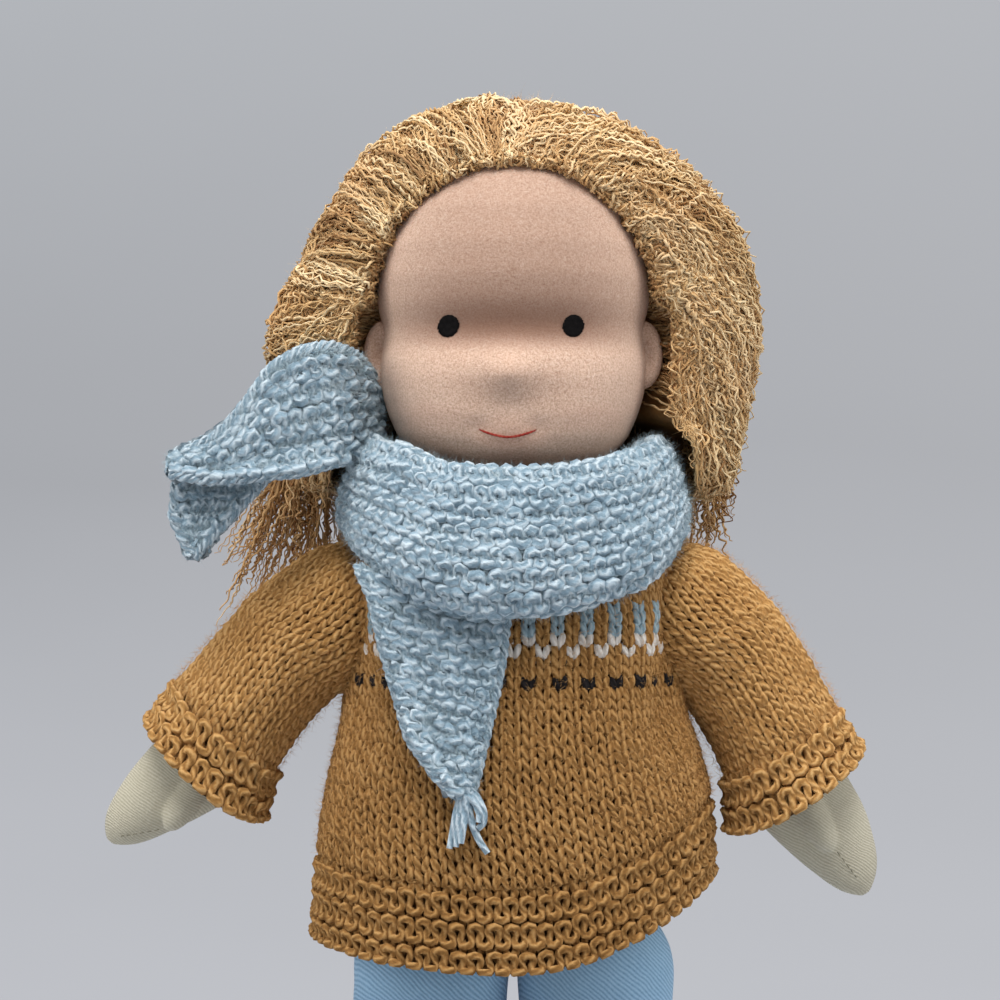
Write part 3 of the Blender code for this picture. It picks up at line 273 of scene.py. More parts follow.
# ---------------------------------------------------------------- materials


def new_material(name, finish):
    """Material with the given finish, with helpers that add nodes and plug them into its surface."""
    material = bpy.data.materials.new(name)
    material.use_nodes = True
    tree = material.node_tree
    surface = tree.nodes["Principled BSDF"]
    for key, value in finish.items():
        surface.inputs[key].default_value = value

    def node(kind, links=None, **settings):
        made = tree.nodes.new(kind)
        for key, value in settings.items():
            setattr(made, key, value)
        for key, value in (links or {}).items():
            if isinstance(value, bpy.types.NodeSocket):
                tree.links.new(value, made.inputs[key])
            else:
                made.inputs[key].default_value = value
        return made

    def plug(source, target):
        tree.links.new(source, surface.inputs[target])

    return material, node, plug, node("ShaderNodeTexCoord").outputs["Object"]


def mathed(node, operation, *values, clamp=False):
    """Result socket of a Math node."""
    made = node("ShaderNodeMath", dict(enumerate(values)), operation=operation, use_clamp=clamp)
    return made.outputs[0]


def linear(red, green, blue):
    """Linear colour from the sRGB values 0 to 255."""
    values = []
    for value in (red, green, blue):
        value /= 255
        values.append(value / 12.92 if value <= 0.04045 else ((value + 0.055) / 1.055) ** 2.4)
    return (*values, 1.0)


def ramp(node, value, places, colours):
    """Colour socket of a ramp through three sRGB colours."""
    made = node("ShaderNodeValToRGB", {"Fac": value})
    elements = made.color_ramp.elements
    dark, middle, light = (linear(*colour) for colour in colours)
    elements[0].position, elements[0].color = places[0], dark
    elements[1].position, elements[1].color = places[2], light
    elements.new(places[1]).color = middle
    return made.outputs["Color"]


def mix(node, factor, a, b):
    """Colour socket that mixes two colours."""
    return node("ShaderNodeMix", {0: factor, 6: a, 7: b}, data_type="RGBA").outputs[2]


def noise(node, place, scale, detail, **settings):
    """Value socket of a noise texture."""
    links = {"Vector": place, "Scale": scale, "Detail": detail, **settings}
    return node("ShaderNodeTexNoise", links).outputs["Fac"]


def tone_of(node):
    """Value socket of the mesh's tone attribute, which carries colour and painted shade."""
    return node("ShaderNodeAttribute", attribute_name="tone").outputs["Fac"]


def emboss(node, plug, height, strength, distance):
    """Relief of the surface."""
    bump = node("ShaderNodeBump", {"Height": height, "Strength": strength, "Distance": distance})
    plug(bump.outputs[0], "Normal")


def yarn_material(name, *colours, ply=0.0042, fibre=1.0, sheen=0.25, relief=0.85, gap=0.45,
    strands=12.0, depth=0.00035):
    """Spun yarn: plies that wind round it, fine fibres and uneven dye, with painted shade in the grooves
    between plies and where it lies deep.
    """
    finish = {"Roughness": 0.92, "Specular IOR Level": 0.18, "Sheen Weight": sheen,
        "Sheen Roughness": 0.5, "Sheen Tint": linear(*colours[2])}
    material, node, plug, place = new_material(name, finish)
    parts = node("ShaderNodeSeparateXYZ", {0: node("ShaderNodeUVMap", uv_map="along").outputs[0]})
    length = mathed(node, "DIVIDE", parts.outputs[0], ply)
    turn = mathed(node, "MULTIPLY", parts.outputs[1], 3.0)
    wobble = noise(node, place, 420.0, 3.0)
    bent = mathed(node, "MULTIPLY", wobble, 0.9)
    winding = mathed(node, "ADD", mathed(node, "ADD", length, turn), bent)
    wave = mathed(node, "SINE", mathed(node, "MULTIPLY", winding, math.tau))
    grooves = mathed(node, "MULTIPLY_ADD", wave, 0.5, 0.5)
    stretched = {0: mathed(node, "MULTIPLY", winding, 1.4),
        1: mathed(node, "MULTIPLY", mathed(node, "SUBTRACT", turn, length), strands),
        2: mathed(node, "MULTIPLY", wobble, 2.0)}
    stretched = node("ShaderNodeCombineXYZ", stretched).outputs[0]
    fibres = noise(node, stretched, 1.0, 4.0, Roughness=0.7)
    # Painted shade: the grooves between the plies are darker in colour.
    shade = mathed(node, "MULTIPLY", grooves, 0.36)
    shade = mathed(node, "MULTIPLY_ADD", fibres, 0.62 * fibre, shade)
    shade = mathed(node, "MULTIPLY_ADD", noise(node, place, 55.0, 3.0), 0.3, shade)
    shade = mathed(node, "SUBTRACT", shade, 0.15, clamp=True)
    colour = ramp(node, shade, (0.12, 0.48, 0.92), colours)
    # Painted shade: where the yarn lies deep between stitches, its colour is mixed towards its dark colour
    # times gap.
    painted_gap_shade = (*(part * gap for part in linear(*colours[0])[:3]), 1)
    deep = mathed(node, "MULTIPLY", tone_of(node), 0.9, clamp=True)
    plug(mix(node, deep, colour, painted_gap_shade), "Base Color")
    emboss(node, plug, mathed(node, "MULTIPLY_ADD", fibres, 0.8, grooves), relief, depth)
    return material


def cloth_material(name, *colours, scale=900.0, sheen=0.2):
    """Plain felted or woven cloth with fine grain and faint uneven colour."""
    finish = {"Roughness": 0.95, "Specular IOR Level": 0.15, "Sheen Weight": sheen,
        "Sheen Roughness": 0.5}
    material, node, plug, place = new_material(name, finish)
    fine = noise(node, place, scale, 4.0)
    shade = mathed(node, "MULTIPLY", fine, 0.6)
    shade = mathed(node, "MULTIPLY_ADD", noise(node, place, 40.0, 3.0), 0.4, shade)
    plug(ramp(node, shade, (0.3, 0.5, 0.72), colours), "Base Color")
    emboss(node, plug, fine, 0.7, 0.0003)
    return material


def skin_material(name):
    """Brushed peach jersey: a fuzzy grain, warmer where its tone rises as blush and darker where it falls,
    that darkening being painted shade.
    """
    finish = {"Roughness": 0.95, "Specular IOR Level": 0.12, "Subsurface Weight": 0.08,
        "Subsurface Radius": (0.003, 0.0015, 0.001), "Sheen Weight": 0.35, "Sheen Roughness": 0.6,
        "Sheen Tint": linear(255, 225, 205)}
    material, node, plug, place = new_material(name, finish)
    fine, speck = noise(node, place, 1500.0, 3.0), noise(node, place, 3200.0, 1.0)
    grain = mathed(node, "MULTIPLY", mathed(node, "ADD", fine, speck), 0.5)
    colours = ((176, 141, 120), (210, 177, 155), (232, 206, 187))
    colour = ramp(node, grain, (0.34, 0.5, 0.68), colours)
    broad = noise(node, place, 45.0, 2.0)
    cloudy = mathed(node, "MULTIPLY_ADD", broad, 0.3, -0.1, clamp=True)
    colour = mix(node, cloudy, colour, linear(218, 178, 153))
    blush_and_painted_shade = tone_of(node)
    # A rising tone mixes in blush; a falling tone mixes in (120, 86, 69) as painted shade.
    for strength, tint in ((1.0, (214, 150, 128)), (-1.0, (120, 86, 69))):
        share = mathed(node, "MULTIPLY", blush_and_painted_shade, strength, clamp=True)
        colour = mix(node, share, colour, linear(*tint))
    plug(colour, "Base Color")
    emboss(node, plug, mathed(node, "MULTIPLY_ADD", speck, 0.6, fine), 0.65, 0.0002)
    return material


def ribbed_material(name, *colours, way, pitch=0.00075, depth=0.00012):
    """Fine slanted ribs or twill lines with crossing threads."""
    finish = {"Roughness": 0.88, "Specular IOR Level": 0.2, "Sheen Weight": 0.15}
    material, node, plug, place = new_material(name, finish)
    parts = node("ShaderNodeVectorMath", {0: place, 1: way}, operation="DOT_PRODUCT")
    bent = mathed(node, "MULTIPLY", noise(node, place, 60.0, 2.0), 0.004)
    run = mathed(node, "ADD", parts.outputs["Value"], bent)
    lines = mathed(node, "SINE", mathed(node, "MULTIPLY", run, math.tau / pitch))
    ribs = mathed(node, "MULTIPLY_ADD", lines, 0.5, 0.5)
    fine = noise(node, place, 1600.0, 3.0)
    shade = mathed(node, "MULTIPLY", ribs, 0.34)
    shade = mathed(node, "MULTIPLY_ADD", fine, 0.4, shade)
    shade = mathed(node, "MULTIPLY_ADD", noise(node, place, 35.0, 3.0), 0.3, shade)
    plug(ramp(node, shade, (0.22, 0.5, 0.8), colours), "Base Color")
    emboss(node, plug, mathed(node, "MULTIPLY_ADD", fine, 0.5, ribs), 0.8, depth)
    return material


def hair_material(name, *colours, red):
    """Mohair strands whose shade follows each strand's tone."""
    finish = {"Roughness": 0.62, "Specular IOR Level": 0.35, "Sheen Weight": 0.2,
        "Sheen Tint": linear(*colours[2])}
    material, node, plug, place = new_material(name, finish)
    fine = noise(node, place, 900.0, 3.0)
    shade = mathed(node, "MULTIPLY_ADD", fine, 0.5, tone_of(node))
    shade = mathed(node, "SUBTRACT", shade, 0.25, clamp=True)
    colour = ramp(node, shade, (0.05, 0.5, 0.95), colours)
    broad = noise(node, place, 30.0, 2.0)
    warm = mathed(node, "MULTIPLY_ADD", broad, 1.6, -0.75, clamp=True)
    plug(mix(node, warm, colour, linear(*red)), "Base Color")
    emboss(node, plug, fine, 0.5, 0.0002)
    return material


# The body's mustard wool is a darker copy, painted shade from the scarf above it; the next one, for sleeves
# and cuffs, is a lighter copy of the same wool, painted light from above.
MUSTARD = yarn_material("mustard_wool", (89, 58, 26), (159, 115, 63), (214, 171, 113))
MUSTARD_PAINTED_LIT = yarn_material("mustard_wool_light", (108, 71, 33), (190, 141, 81), (242, 200, 138))
# Dark colour of the sweater's backings: painted shade in the gaps between stitches.
MUSTARD_PAINTED_SHADE = cloth_material("mustard_shade", (64, 40, 16), (98, 64, 30), (128, 86, 44))
MUSTARD_FUZZ = cloth_material("mustard_fuzz", (180, 130, 74), (206, 156, 94), (226, 180, 118))
SCARF_WOOL = yarn_material("blue_wool", (78, 102, 118), (150, 176, 192), (234, 245, 250),
    ply=0.0062, sheen=0.5, relief=1.0, gap=0.34, strands=6.0, depth=0.0006, fibre=1.25)
# Dark colour of the scarf's backings: painted shade in the gaps between stitches.
SCARF_PAINTED_SHADE = cloth_material("blue_shade", (52, 68, 78), (74, 92, 102), (98, 118, 128))
SCARF_FUZZ = cloth_material("blue_fuzz", (118, 142, 152), (182, 202, 209), (226, 236, 239),
    scale=260.0)
WHITE_WOOL = yarn_material("white_wool", (178, 168, 156), (224, 216, 206), (246, 242, 236))
BLACK_WOOL = yarn_material("black_wool", (14, 12, 12), (30, 26, 26), (56, 50, 48), sheen=0.1)
PALE_BLUE = yarn_material("yoke_blue_wool", (104, 126, 138), (150, 174, 184), (190, 208, 214))
SKIN = skin_material("peach_jersey")
HAND = ribbed_material("cream_jersey", (166, 159, 137), (188, 181, 159), (208, 202, 183),
    way=(0.5, 0.1, 0.86))
TWILL = ribbed_material("blue_twill", (104, 140, 170), (140, 178, 208), (168, 202, 226),
    way=(0.66, 0.2, 0.75), pitch=0.0011, depth=0.0001)
HAIR = hair_material("blonde_mohair", (136, 92, 50), (208, 168, 113), (248, 222, 176),
    red=(200, 148, 94))
# Darker copy of the mohair for the mass under the strands: painted shade deep in the hair.
HAIR_PAINTED_SHADE = hair_material("mohair_depth", (104, 70, 36), (144, 104, 60), (172, 134, 84),
    red=(138, 90, 48))
HAIR_FUZZ = cloth_material("mohair_fuzz", (206, 170, 120), (230, 196, 146), (246, 222, 178))
THREAD_BLACK = cloth_material("black_thread", (8, 7, 7), (14, 12, 12), (26, 23, 23), sheen=0.0)
THREAD_RED = cloth_material("red_thread", (104, 30, 26), (142, 46, 38), (172, 74, 60), sheen=0.1)
THREAD_DARK = cloth_material("seam_thread", (96, 92, 78), (122, 118, 100), (150, 146, 128),
    sheen=0.0)

# ---------------------------------------------------------------- knitting

STITCH_STEPS = 12
YARN_SIDES = 6


def stitch_rows(surface, courses, columns, kind, lift, uneven=1.0):
    """Yarn paths of knitted courses. kind 1 shows the legs in front, -1 the loops' heads."""
    closed = surface.closed
    steps = columns * STITCH_STEPS + (0 if closed else 1)
    turn = np.arange(steps) * math.tau / STITCH_STEPS
    stitch = turn / math.tau
    kind = np.broadcast_to(kind, (courses,))[:, None]
    shaky = RANDOM.normal(size=(3, courses, columns + 2)) * uneven
    low = stitch.astype(int)
    part = stitch - low
    part = part * part * (3 - 2 * part)
    wrap = columns if closed else columns + 1
    shaky = shaky[:, :, low % wrap] * (1 - part) + shaky[:, :, (low + 1) % wrap] * part
    across = (stitch + 0.2 * np.sin(2 * turn) + shaky[0] * 0.045) / columns
    row = np.arange(courses)[:, None] + 0.5
    up = (row + 0.74 * np.cos(turn) + shaky[1] * 0.07) / courses
    depth = -kind * np.cos(2 * turn) * lift[1] + lift[0] + shaky[2] * 0.00014
    return *surface.at(across, up, depth), depth


def spun(paths, normals, depth, radius, closed, rough):
    """Yarn round paths, thick and thin by turns and rough with fibres, with how deep each point lies as the
    mask of the yarn's painted shade.
    """
    count, steps = paths.shape[:2]
    swell = 1 + 0.07 * smoothed(RANDOM.normal(size=(steps, count)) * 2.2, 3, True).T
    points, quads, uv = tubes(paths, normals, radius * swell, YARN_SIDES, closed)
    height = ((points - paths[:, :, None]) * normals[:, :, None]).sum(-1) + depth[:, :, None]
    # deep is 1 where the yarn lies deepest; it carries the painted shade in the gaps.
    low, high = np.percentile(height, (8, 92))
    deep = np.clip((high - height) / (high - low), 0, 1) ** 1.6
    return points + RANDOM.normal(0, rough, points.shape), quads, uv, deep


def add_parts(name, points, quads, material, uv, tone):
    """Meshes that share the faces in order, none of them very large."""
    quads, uv = quads.reshape(-1, 4), uv.reshape(-1, 4, 2)
    count = -(-len(quads) // FACES_PER_PIECE)
    made = []
    for number, which in enumerate(np.array_split(np.arange(len(quads)), count)):
        made.append(add_mesh(f"{name}_{number}", points, quads[which], material, uv[which], tone))
    return made


def knit(name, surface, courses, columns, radius, lift=(0.0, 0.0006), keep=None, colours=None,
    material=None):
    """Knitted yarn over a surface, as one piece or one piece for each colour."""
    paths, normals, depth = stitch_rows(surface, courses, columns, 1, lift)
    points, quads, uv, deep = spun(paths, normals, depth, radius, surface.closed, 0.00006)
    middle = (paths + np.roll(paths, -1, axis=1)) / 2
    middle = middle[:, : quads.shape[1]]
    shown = np.ones(quads.shape[:2], bool) if keep is None else keep(middle)
    if colours is None:
        return add_parts(name, points, quads[shown], material, uv[shown], deep)
    stitch = (np.arange(quads.shape[1]) + STITCH_STEPS / 2) // STITCH_STEPS
    which = colours[:, stitch.astype(int) % columns]
    made = []
    for number, (label, wool) in enumerate(material):
        chosen = shown & (which == number)
        if chosen.any():
            made += add_parts(f"{name}_{label}", points, quads[chosen], wool, uv[chosen], deep)
    return made


def backing(name, surface, material, lift, keep=None):
    """Thin dense cloth under the stitches, in a dark colour that paints the shade in the gaps between them.
    """
    grid = surface.grid + surface.normal * lift
    quads = grid_quads(*grid.shape[:2], surface.closed)
    if keep is not None:
        middle = grid.reshape(-1, 3)[quads].mean(1)
        quads = quads[keep(middle)]
    return add_mesh(name, grid, quads, material)


def fuzz(name, surfaces, count, length, thick, material, seed, keep=None, stand=0.55, lift=0.0009):
    """Stray fibres that stand off surfaces."""
    maker = np.random.default_rng(seed)
    starts, ways = [], []
    for surface in surfaces:
        share = count // len(surfaces)
        place, normal = surface.at(maker.random(share), maker.random(share), lift)
        if keep is not None:
            kept = keep(place)
            place, normal = place[kept], normal[kept]
        starts.append(place)
        ways.append(normal)
    start, way = np.concatenate(starts), np.concatenate(ways)
    total = len(start)
    heading = unit(way * stand + maker.normal(size=(total, 3)) * 0.9)
    heading = unit(heading + way * np.clip(-(heading * way).sum(-1, keepdims=True) + 0.1, 0, 2))
    bend = unit(np.cross(heading, maker.normal(size=(total, 3)))) * maker.uniform(0.2, 1.0,
        (total, 1))
    size = length * maker.uniform(0.45, 1.3, (total, 1))
    share = np.linspace(0, 1, 4)
    paths = start[:, None] + heading[:, None] * (size * share)[..., None]
    paths = paths + bend[:, None] * (size * share**2)[..., None] * 0.6
    side = unit(np.cross(heading, maker.normal(size=(total, 3))))
    half = side[:, None] * (thick * (1.1 - share))[None, :, None]
    points = np.stack([paths - half, paths + half], axis=2)
    index = np.arange(points.size // 3).reshape(total, 4, 2)
    quads = np.stack([index[:, :-1, 0], index[:, :-1, 1], index[:, 1:, 1], index[:, 1:, 0]], -1)
    return add_mesh(name, points, quads, material)


# ---------------------------------------------------------------- sweater

STITCH = 0.00426
COURSE = 0.00305
HALF_SPAN = abs(PLACES["left_arm_lift"][0] - HOME[0])
SHOULDER_Z = PLACES["left_arm_lift"][2]
HEM_Z = SHOULDER_Z - 0.097
SWEATER_LENGTH = 0.130
BAND_Z = HEM_Z + 0.0235
SWEATER = np.array([(0.00, 1.185, 1.02, 0.955), (0.07, 1.175, 1.00, 0.965),
    (0.173, 1.155, 0.985, 0.975), (0.27, 1.130, 0.965, 0.96), (0.40, 1.075, 0.94, 0.93),
    (0.50, 1.025, 0.92, 0.90), (0.579, 1.003, 0.90, 0.88), (0.75, 1.000, 0.875, 0.83),
    (0.84, 0.965, 0.845, 0.79), (0.90, 0.885, 0.80, 0.72), (0.95, 0.735, 0.71, 0.63),
    (1.00, 0.570, 0.59, 0.52)])


def sweater_grid():
    """Grid of the sweater's body from hem to neck, with its raised hem and soft folds."""
    share = np.linspace(0, 1, 131)
    sizes = [smoothed(np.interp(share, SWEATER[:, 0], SWEATER[:, k]), 6) for k in (1, 2, 3)]
    rows = []
    for part, width, front, back in zip(share, *sizes):
        x, y = oval(HALF_SPAN * width, 0.044 * front, 0.040 * back, 2.6)
        fade = np.clip((0.55 - part) / (0.55 - 0.18), 0, 1)
        rise = np.where(x > 0, 0.0175, 0.005) * (x / HALF_SPAN) ** 2 * fade
        loop = np.stack([x, y, HEM_Z + SWEATER_LENGTH * part + rise], axis=-1)
        rows.append(even_loop(loop, 312))
    grid = np.array(rows)
    x, z = grid[..., 0], grid[..., 2]
    front = np.clip(-grid[..., 1] / 0.02, 0, 1)
    soft = wave_noise(grid * np.array([1, 1, 0.45]), 16.0, 3) * 0.0011
    soft = soft * np.clip((0.262 - z) / 0.03, 0, 1)
    for side in (-1, 1):
        slant = (np.abs(x - side * (0.0455 - 0.10 * (0.262 - z)))) / 0.0045
        height = np.clip((z - 0.225) / 0.014, 0, 1) * np.clip((0.285 - z) / 0.01, 0, 1)
        soft = soft - 0.0030 * np.exp(-(slant**2)) * height * front
    return grid + unit(grid * LEVEL) * soft[..., None]


def off_shoulders(radius):
    """Test that leaves out what lies inside either shoulder's ball."""

    def keep(points):
        left = np.linalg.norm(points - np.array([HALF_SPAN, 0, SHOULDER_Z]), axis=-1)
        right = np.linalg.norm(points - np.array([-HALF_SPAN, 0, SHOULDER_Z]), axis=-1)
        return (left > radius) & (right > radius)

    return keep


def ride(pieces, body):
    """Let pieces ride a body."""
    for piece in pieces:
        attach(piece, body)


grid = sweater_grid()
band_rows = int(round((BAND_Z - HEM_Z) / SWEATER_LENGTH * 130))
body_grid, body_length = even_rows(grid[band_rows:], 160)
body_surface = Surface(body_grid, True)
band_surface = Surface(even_rows(grid[: band_rows + 1], 40)[0], True)
COURSES = int(round(body_length / COURSE))
COLUMNS = 68
BLACK_COURSE = int(round((0.2425 - BAND_Z) / COURSE))
pattern = np.zeros((COURSES, COLUMNS), int)
odd = np.arange(COLUMNS) % 2 == 1
pattern[BLACK_COURSE, odd] = 1
pattern[BLACK_COURSE + 3, ~odd] = 2
pattern[BLACK_COURSE + 4, odd] = 2
pattern[BLACK_COURSE + 5 : BLACK_COURSE + 8, odd] = 3
WOOLS = (("mustard", MUSTARD), ("black", BLACK_WOOL), ("white", WHITE_WOOL), ("blue", PALE_BLUE))
YARN = 0.00108
off_balls = off_shoulders(0.0202)
body_pieces = knit("sweater_knit", body_surface, COURSES, COLUMNS, YARN, lift=(-0.0012, 0.00055),
    keep=off_balls, colours=pattern, material=WOOLS)
# The backing under the body's stitches is painted shade.
body_painted_shade = backing("sweater_cloth", body_surface, MUSTARD_PAINTED_SHADE, -0.0018, off_shoulders(0.0198))
ride([*body_pieces, body_painted_shade], "torso")
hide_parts("sweater_body", "sweater_yoke")


def garter(surface, ridges, columns, radius, step=0.0006, base=0.0, rough=0.00007, uneven=1.0):
    """Garter stitch: courses of forward heads between sunken courses."""
    courses = ridges * 2
    kind = np.where(np.arange(courses) % 2 == 0, -1, 1)
    paths, normals, depth = stitch_rows(surface, courses, columns, kind, (base, 0.0006), uneven)
    raised = np.where(kind < 0, step, -step)[:, None]
    paths = paths + normals * raised[..., None]
    return spun(paths, normals, depth + raised, radius, surface.closed, rough)


def hem_column(middle):
    """Narrow column over the thighs that each face is in, or ROUND."""
    column = np.floor(middle[:, 0] / STITCH).astype(int)
    over = (middle[:, 1] < -0.012) & (np.abs(column + 0.5) < 11.6)
    return np.where(over, column, ROUND)


ROUND = 999
THIGH_X = abs(PLACES["left_hip"][0] - HOME[0])
HIP_Z = PLACES["left_hip"][2]


def add_hem():
    """Hem band cut into narrow front columns over the thighs; each column that reaches down past its thigh's
    top gets its own meshes.
    """
    points, quads, uv, deep = garter(band_surface, 3, COLUMNS, 0.0012, step=0.00075, base=-0.0014)
    flat, quads, uv = points.reshape(-1, 3), quads.reshape(-1, 4), uv.reshape(-1, 4, 2)
    column = hem_column(flat[quads].mean(1))
    # The lining under the hem is painted shade in the gaps between its stitches.
    shade_sheet_grid = band_surface.grid - band_surface.normal * 0.0024
    shade_sheet_quads = grid_quads(*shade_sheet_grid.shape[:2], True)
    shade_sheet_column = hem_column(shade_sheet_grid.reshape(-1, 3)[shade_sheet_quads].mean(1))
    cloth, others = None, []
    for number in np.unique(column):
        chosen = column == number
        label = "round" if number == ROUND else f"{number + 20:02d}"
        yarn = add_mesh(f"hem_knit_{label}", flat, quads[chosen], MUSTARD, uv[chosen], deep)
        painted_shade_lining = add_mesh(f"hem_painted_shade_{label}", shade_sheet_grid, shade_sheet_quads[shade_sheet_column == number],
            MUSTARD_PAINTED_SHADE)
        ride([yarn, painted_shade_lining], "torso")
        if number == ROUND:
            cloth = painted_shade_lining
            others.append(yarn)
            continue
        others += [yarn, painted_shade_lining]
        x = (number + 0.5) * STITCH
        top = flat[quads[chosen]].reshape(-1, 3)[:, 2].max()
        low = flat[quads[chosen]].reshape(-1, 3)[:, 2].min()
        share = min(1.0, abs(abs(x) - THIGH_X) / 0.0245)
        thigh = HIP_Z + 0.0215 * (1 - share**2.2) ** (1 / 2.2) + 0.0015
        keep = float(np.clip((top - max(low, thigh)) / (top - low), 0.12, 1))
        if keep < 0.995:
            for piece in (yarn, painted_shade_lining):
                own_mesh(piece)
    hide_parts("sweater_hem")
    return cloth, others


hem_painted_shade, hem_pieces = add_hem()

# ---------------------------------------------------------------- sleeves

SLEEVE = ((0.0089, 0.0024, 0.0217), (0.0151, 0.0050, 0.0203), (0.0205, 0.0057, 0.0192),
    (0.0294, 0.0056, 0.0189), (0.0374, 0.0049, 0.0191), (0.0450, 0.0041, 0.0196))
BALL = 0.0222
CUFF_START, CUFF_END = 0.0448, 0.0588
ARM_REST = {"right": math.radians(42.6), "left": math.radians(33.2)}


def arm_to_doll(points, side_name):
    """Points of a hanging arm's frame turned and moved to its shoulder. x is outward."""
    outward = -1 if side_name == "right" else 1
    angle = ARM_REST[side_name]
    x, y, z = points[..., 0], points[..., 1], points[..., 2]
    turned_x = x * math.cos(angle) - z * math.sin(angle)
    turned_z = x * math.sin(angle) + z * math.cos(angle)
    return np.stack([outward * (HALF_SPAN + turned_x), y, SHOULDER_Z + turned_z], axis=-1)


def arm_rings(stations, count=160):
    """Rings round a hanging arm at (drop, reach, radius) stations, from the lowest up."""
    turn = np.arange(count) * math.tau / count
    rings = []
    for drop, reach, radius in stations:
        rings.append(np.stack([reach + radius * np.sin(turn), radius * np.cos(turn),
            np.full(count, -drop)], -1))
    return np.array(rings)


def sleeve_surface(side_name):
    """Sleeve from the cuff's seam up over the ball of the shoulder."""
    drops = np.array([station[0] for station in SLEEVE])
    even = np.linspace(drops[0], drops[-1], 40)
    stations = [(d, np.interp(d, drops, [s[1] for s in SLEEVE]),
        np.interp(d, drops, [s[2] for s in SLEEVE])) for d in even]
    ball = []
    for degrees in np.linspace(10, 88, 24):
        angle = math.radians(degrees)
        ball.append((-BALL * math.cos(angle), 0.0, BALL * math.sin(angle)))
    table = smoothed(np.array(ball + stations), 8)
    grid = arm_rings(table)[::-1]
    soft = wave_noise(grid * np.array([1, 1, 0.5]), 26.0, 5 if side_name == "left" else 6) * 0.0009
    fade = np.clip((-grid[..., 2] - 0.004) / 0.012, 0, 1) * np.clip((0.046 + grid[..., 2]) / 0.006,
        0, 1)
    middle = np.array([0.004, 0, 0])
    grid = grid + unit((grid - middle) * LEVEL) * (soft * fade)[..., None]
    grid, length = even_rows(grid, 110)
    return Surface(arm_to_doll(grid, side_name), True), length


def cuff_surface(side_name):
    """Flared cuff, whose front edge droops."""
    stations = []
    for share in np.linspace(0, 1, 24):
        radius = 0.0188 + (0.0219 - 0.0188) * share - 0.0008 * math.sin(math.pi * share)
        stations.append((CUFF_START + (CUFF_END - CUFF_START) * share, 0.0041 * (1 - share),
            radius))
    grid = arm_rings(stations)
    share = np.linspace(0, 1, 24)[:, None]
    grid[..., 2] -= 0.004 * share * np.clip(-grid[..., 1] / 0.0225, 0, 1)
    wavy = wave_noise(grid, 30.0, 8 if side_name == "left" else 9) * 0.0009 * share
    grid[..., :2] *= (1 + wavy / 0.022)[..., None]
    return Surface(arm_to_doll(grid[::-1], side_name), True)


for side_name in ("right", "left"):
    surface, length = sleeve_surface(side_name)
    # The sleeves and cuffs take the lighter copy of the wool, painted light from above.
    pieces = knit(f"sleeve_knit_{side_name}", surface, int(round(length / COURSE)), 28, YARN,
        lift=(-0.0017, 0.00055), material=MUSTARD_PAINTED_LIT)
    # The backings under the sleeve and cuff stitches are painted shade.
    cloth = backing(f"sleeve_painted_shade_{side_name}", surface, MUSTARD_PAINTED_SHADE, -0.0022)
    cuff = cuff_surface(side_name)
    points, quads, uv, deep = garter(cuff, 2, 26, 0.00125, step=0.0009, uneven=1.6)
    ridges = add_mesh(f"cuff_knit_{side_name}", points, quads, MUSTARD_PAINTED_LIT, uv, deep)
    cuff_painted_shade = backing(f"cuff_painted_shade_{side_name}", cuff, MUSTARD_PAINTED_SHADE, -0.0014)
    ride([*pieces, cloth, ridges, cuff_painted_shade], f"{side_name}_arm")
    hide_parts(f"sleeve_{side_name}")
    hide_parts(f"cuff_{side_name}")
    fluff = fuzz(f"sleeve_fuzz_{side_name}", [surface, surface, cuff], 9000, 0.0024, 0.000045,
        MUSTARD_FUZZ, 21, stand=0.45, lift=0.0004)
    ride([fluff], f"{side_name}_arm")

fluff = fuzz("sweater_fuzz", [body_surface], 20000, 0.0024, 0.000045, MUSTARD_FUZZ, 22,
    off_shoulders(0.0232), stand=0.45, lift=0.0003)
ride([fluff], "torso")

# ---------------------------------------------------------------- scarf


def wrap_surface():
    """Wrap of the scarf: up the inside, over the rolled top and down to its lower edge."""
    count = 240
    angle = np.arange(count) * math.tau / count
    front = np.clip(-np.cos(angle), 0, None)
    back = np.clip(np.cos(angle), 0, None)
    left = np.sin(angle)
    top = NOD - 0.0020 - 0.0092 * front**1.6 - 0.0125 * back
    top = top + 0.0022 * np.exp(-(((angle - 3.95) / 0.30) ** 2))
    low = NOD - (0.0260 + (0.0480 - 0.0260) * front**1.4)
    low = low + 0.0010 * np.sin(angle * 5 + 0.6) * front - 0.002 * left * front
    profile = ((-0.27, 0.0052), (-0.16, 0.0046), (-0.06, 0.0040), (-0.02, 0.0028), (0.0, 0.0014),
        (0.02, 0.0002), (0.06, -0.0004), (0.16, -0.0004), (0.30, 0.0), (0.5, 0.0), (0.7, 0.0),
        (0.85, 0.0), (0.93, 0.0004), (0.98, 0.0012), (1.0, 0.0026), (0.985, 0.0038))
    reach_table = np.array([(0.0, 0.87), (0.16, 0.915), (0.36, 0.95), (0.48, 0.97), (0.68, 1.0),
        (0.88, 1.0), (1.0, 0.985)])
    rows = []
    for share, inset in profile[::-1]:
        reach = np.interp(share, reach_table[:, 0], reach_table[:, 1])
        x, y = oval(0.0480 * reach - inset, 0.0500 * reach - inset, 0.0405 * reach - inset, 2.4,
            count)
        z = top + (low - top) * (share if share > 0 else -0.9 * share)
        rows.append(even_loop(np.stack([x, y, z], axis=-1), count))
    grid, _ = even_rows(np.array(rows), 70)
    ahead = np.clip(-grid[..., 1] / 0.03, 0, 1)
    ripple = wave_noise(grid, 18.0, 31) * 0.0014 * ahead
    return Surface(grid + unit(grid * LEVEL) * ripple[..., None], True)


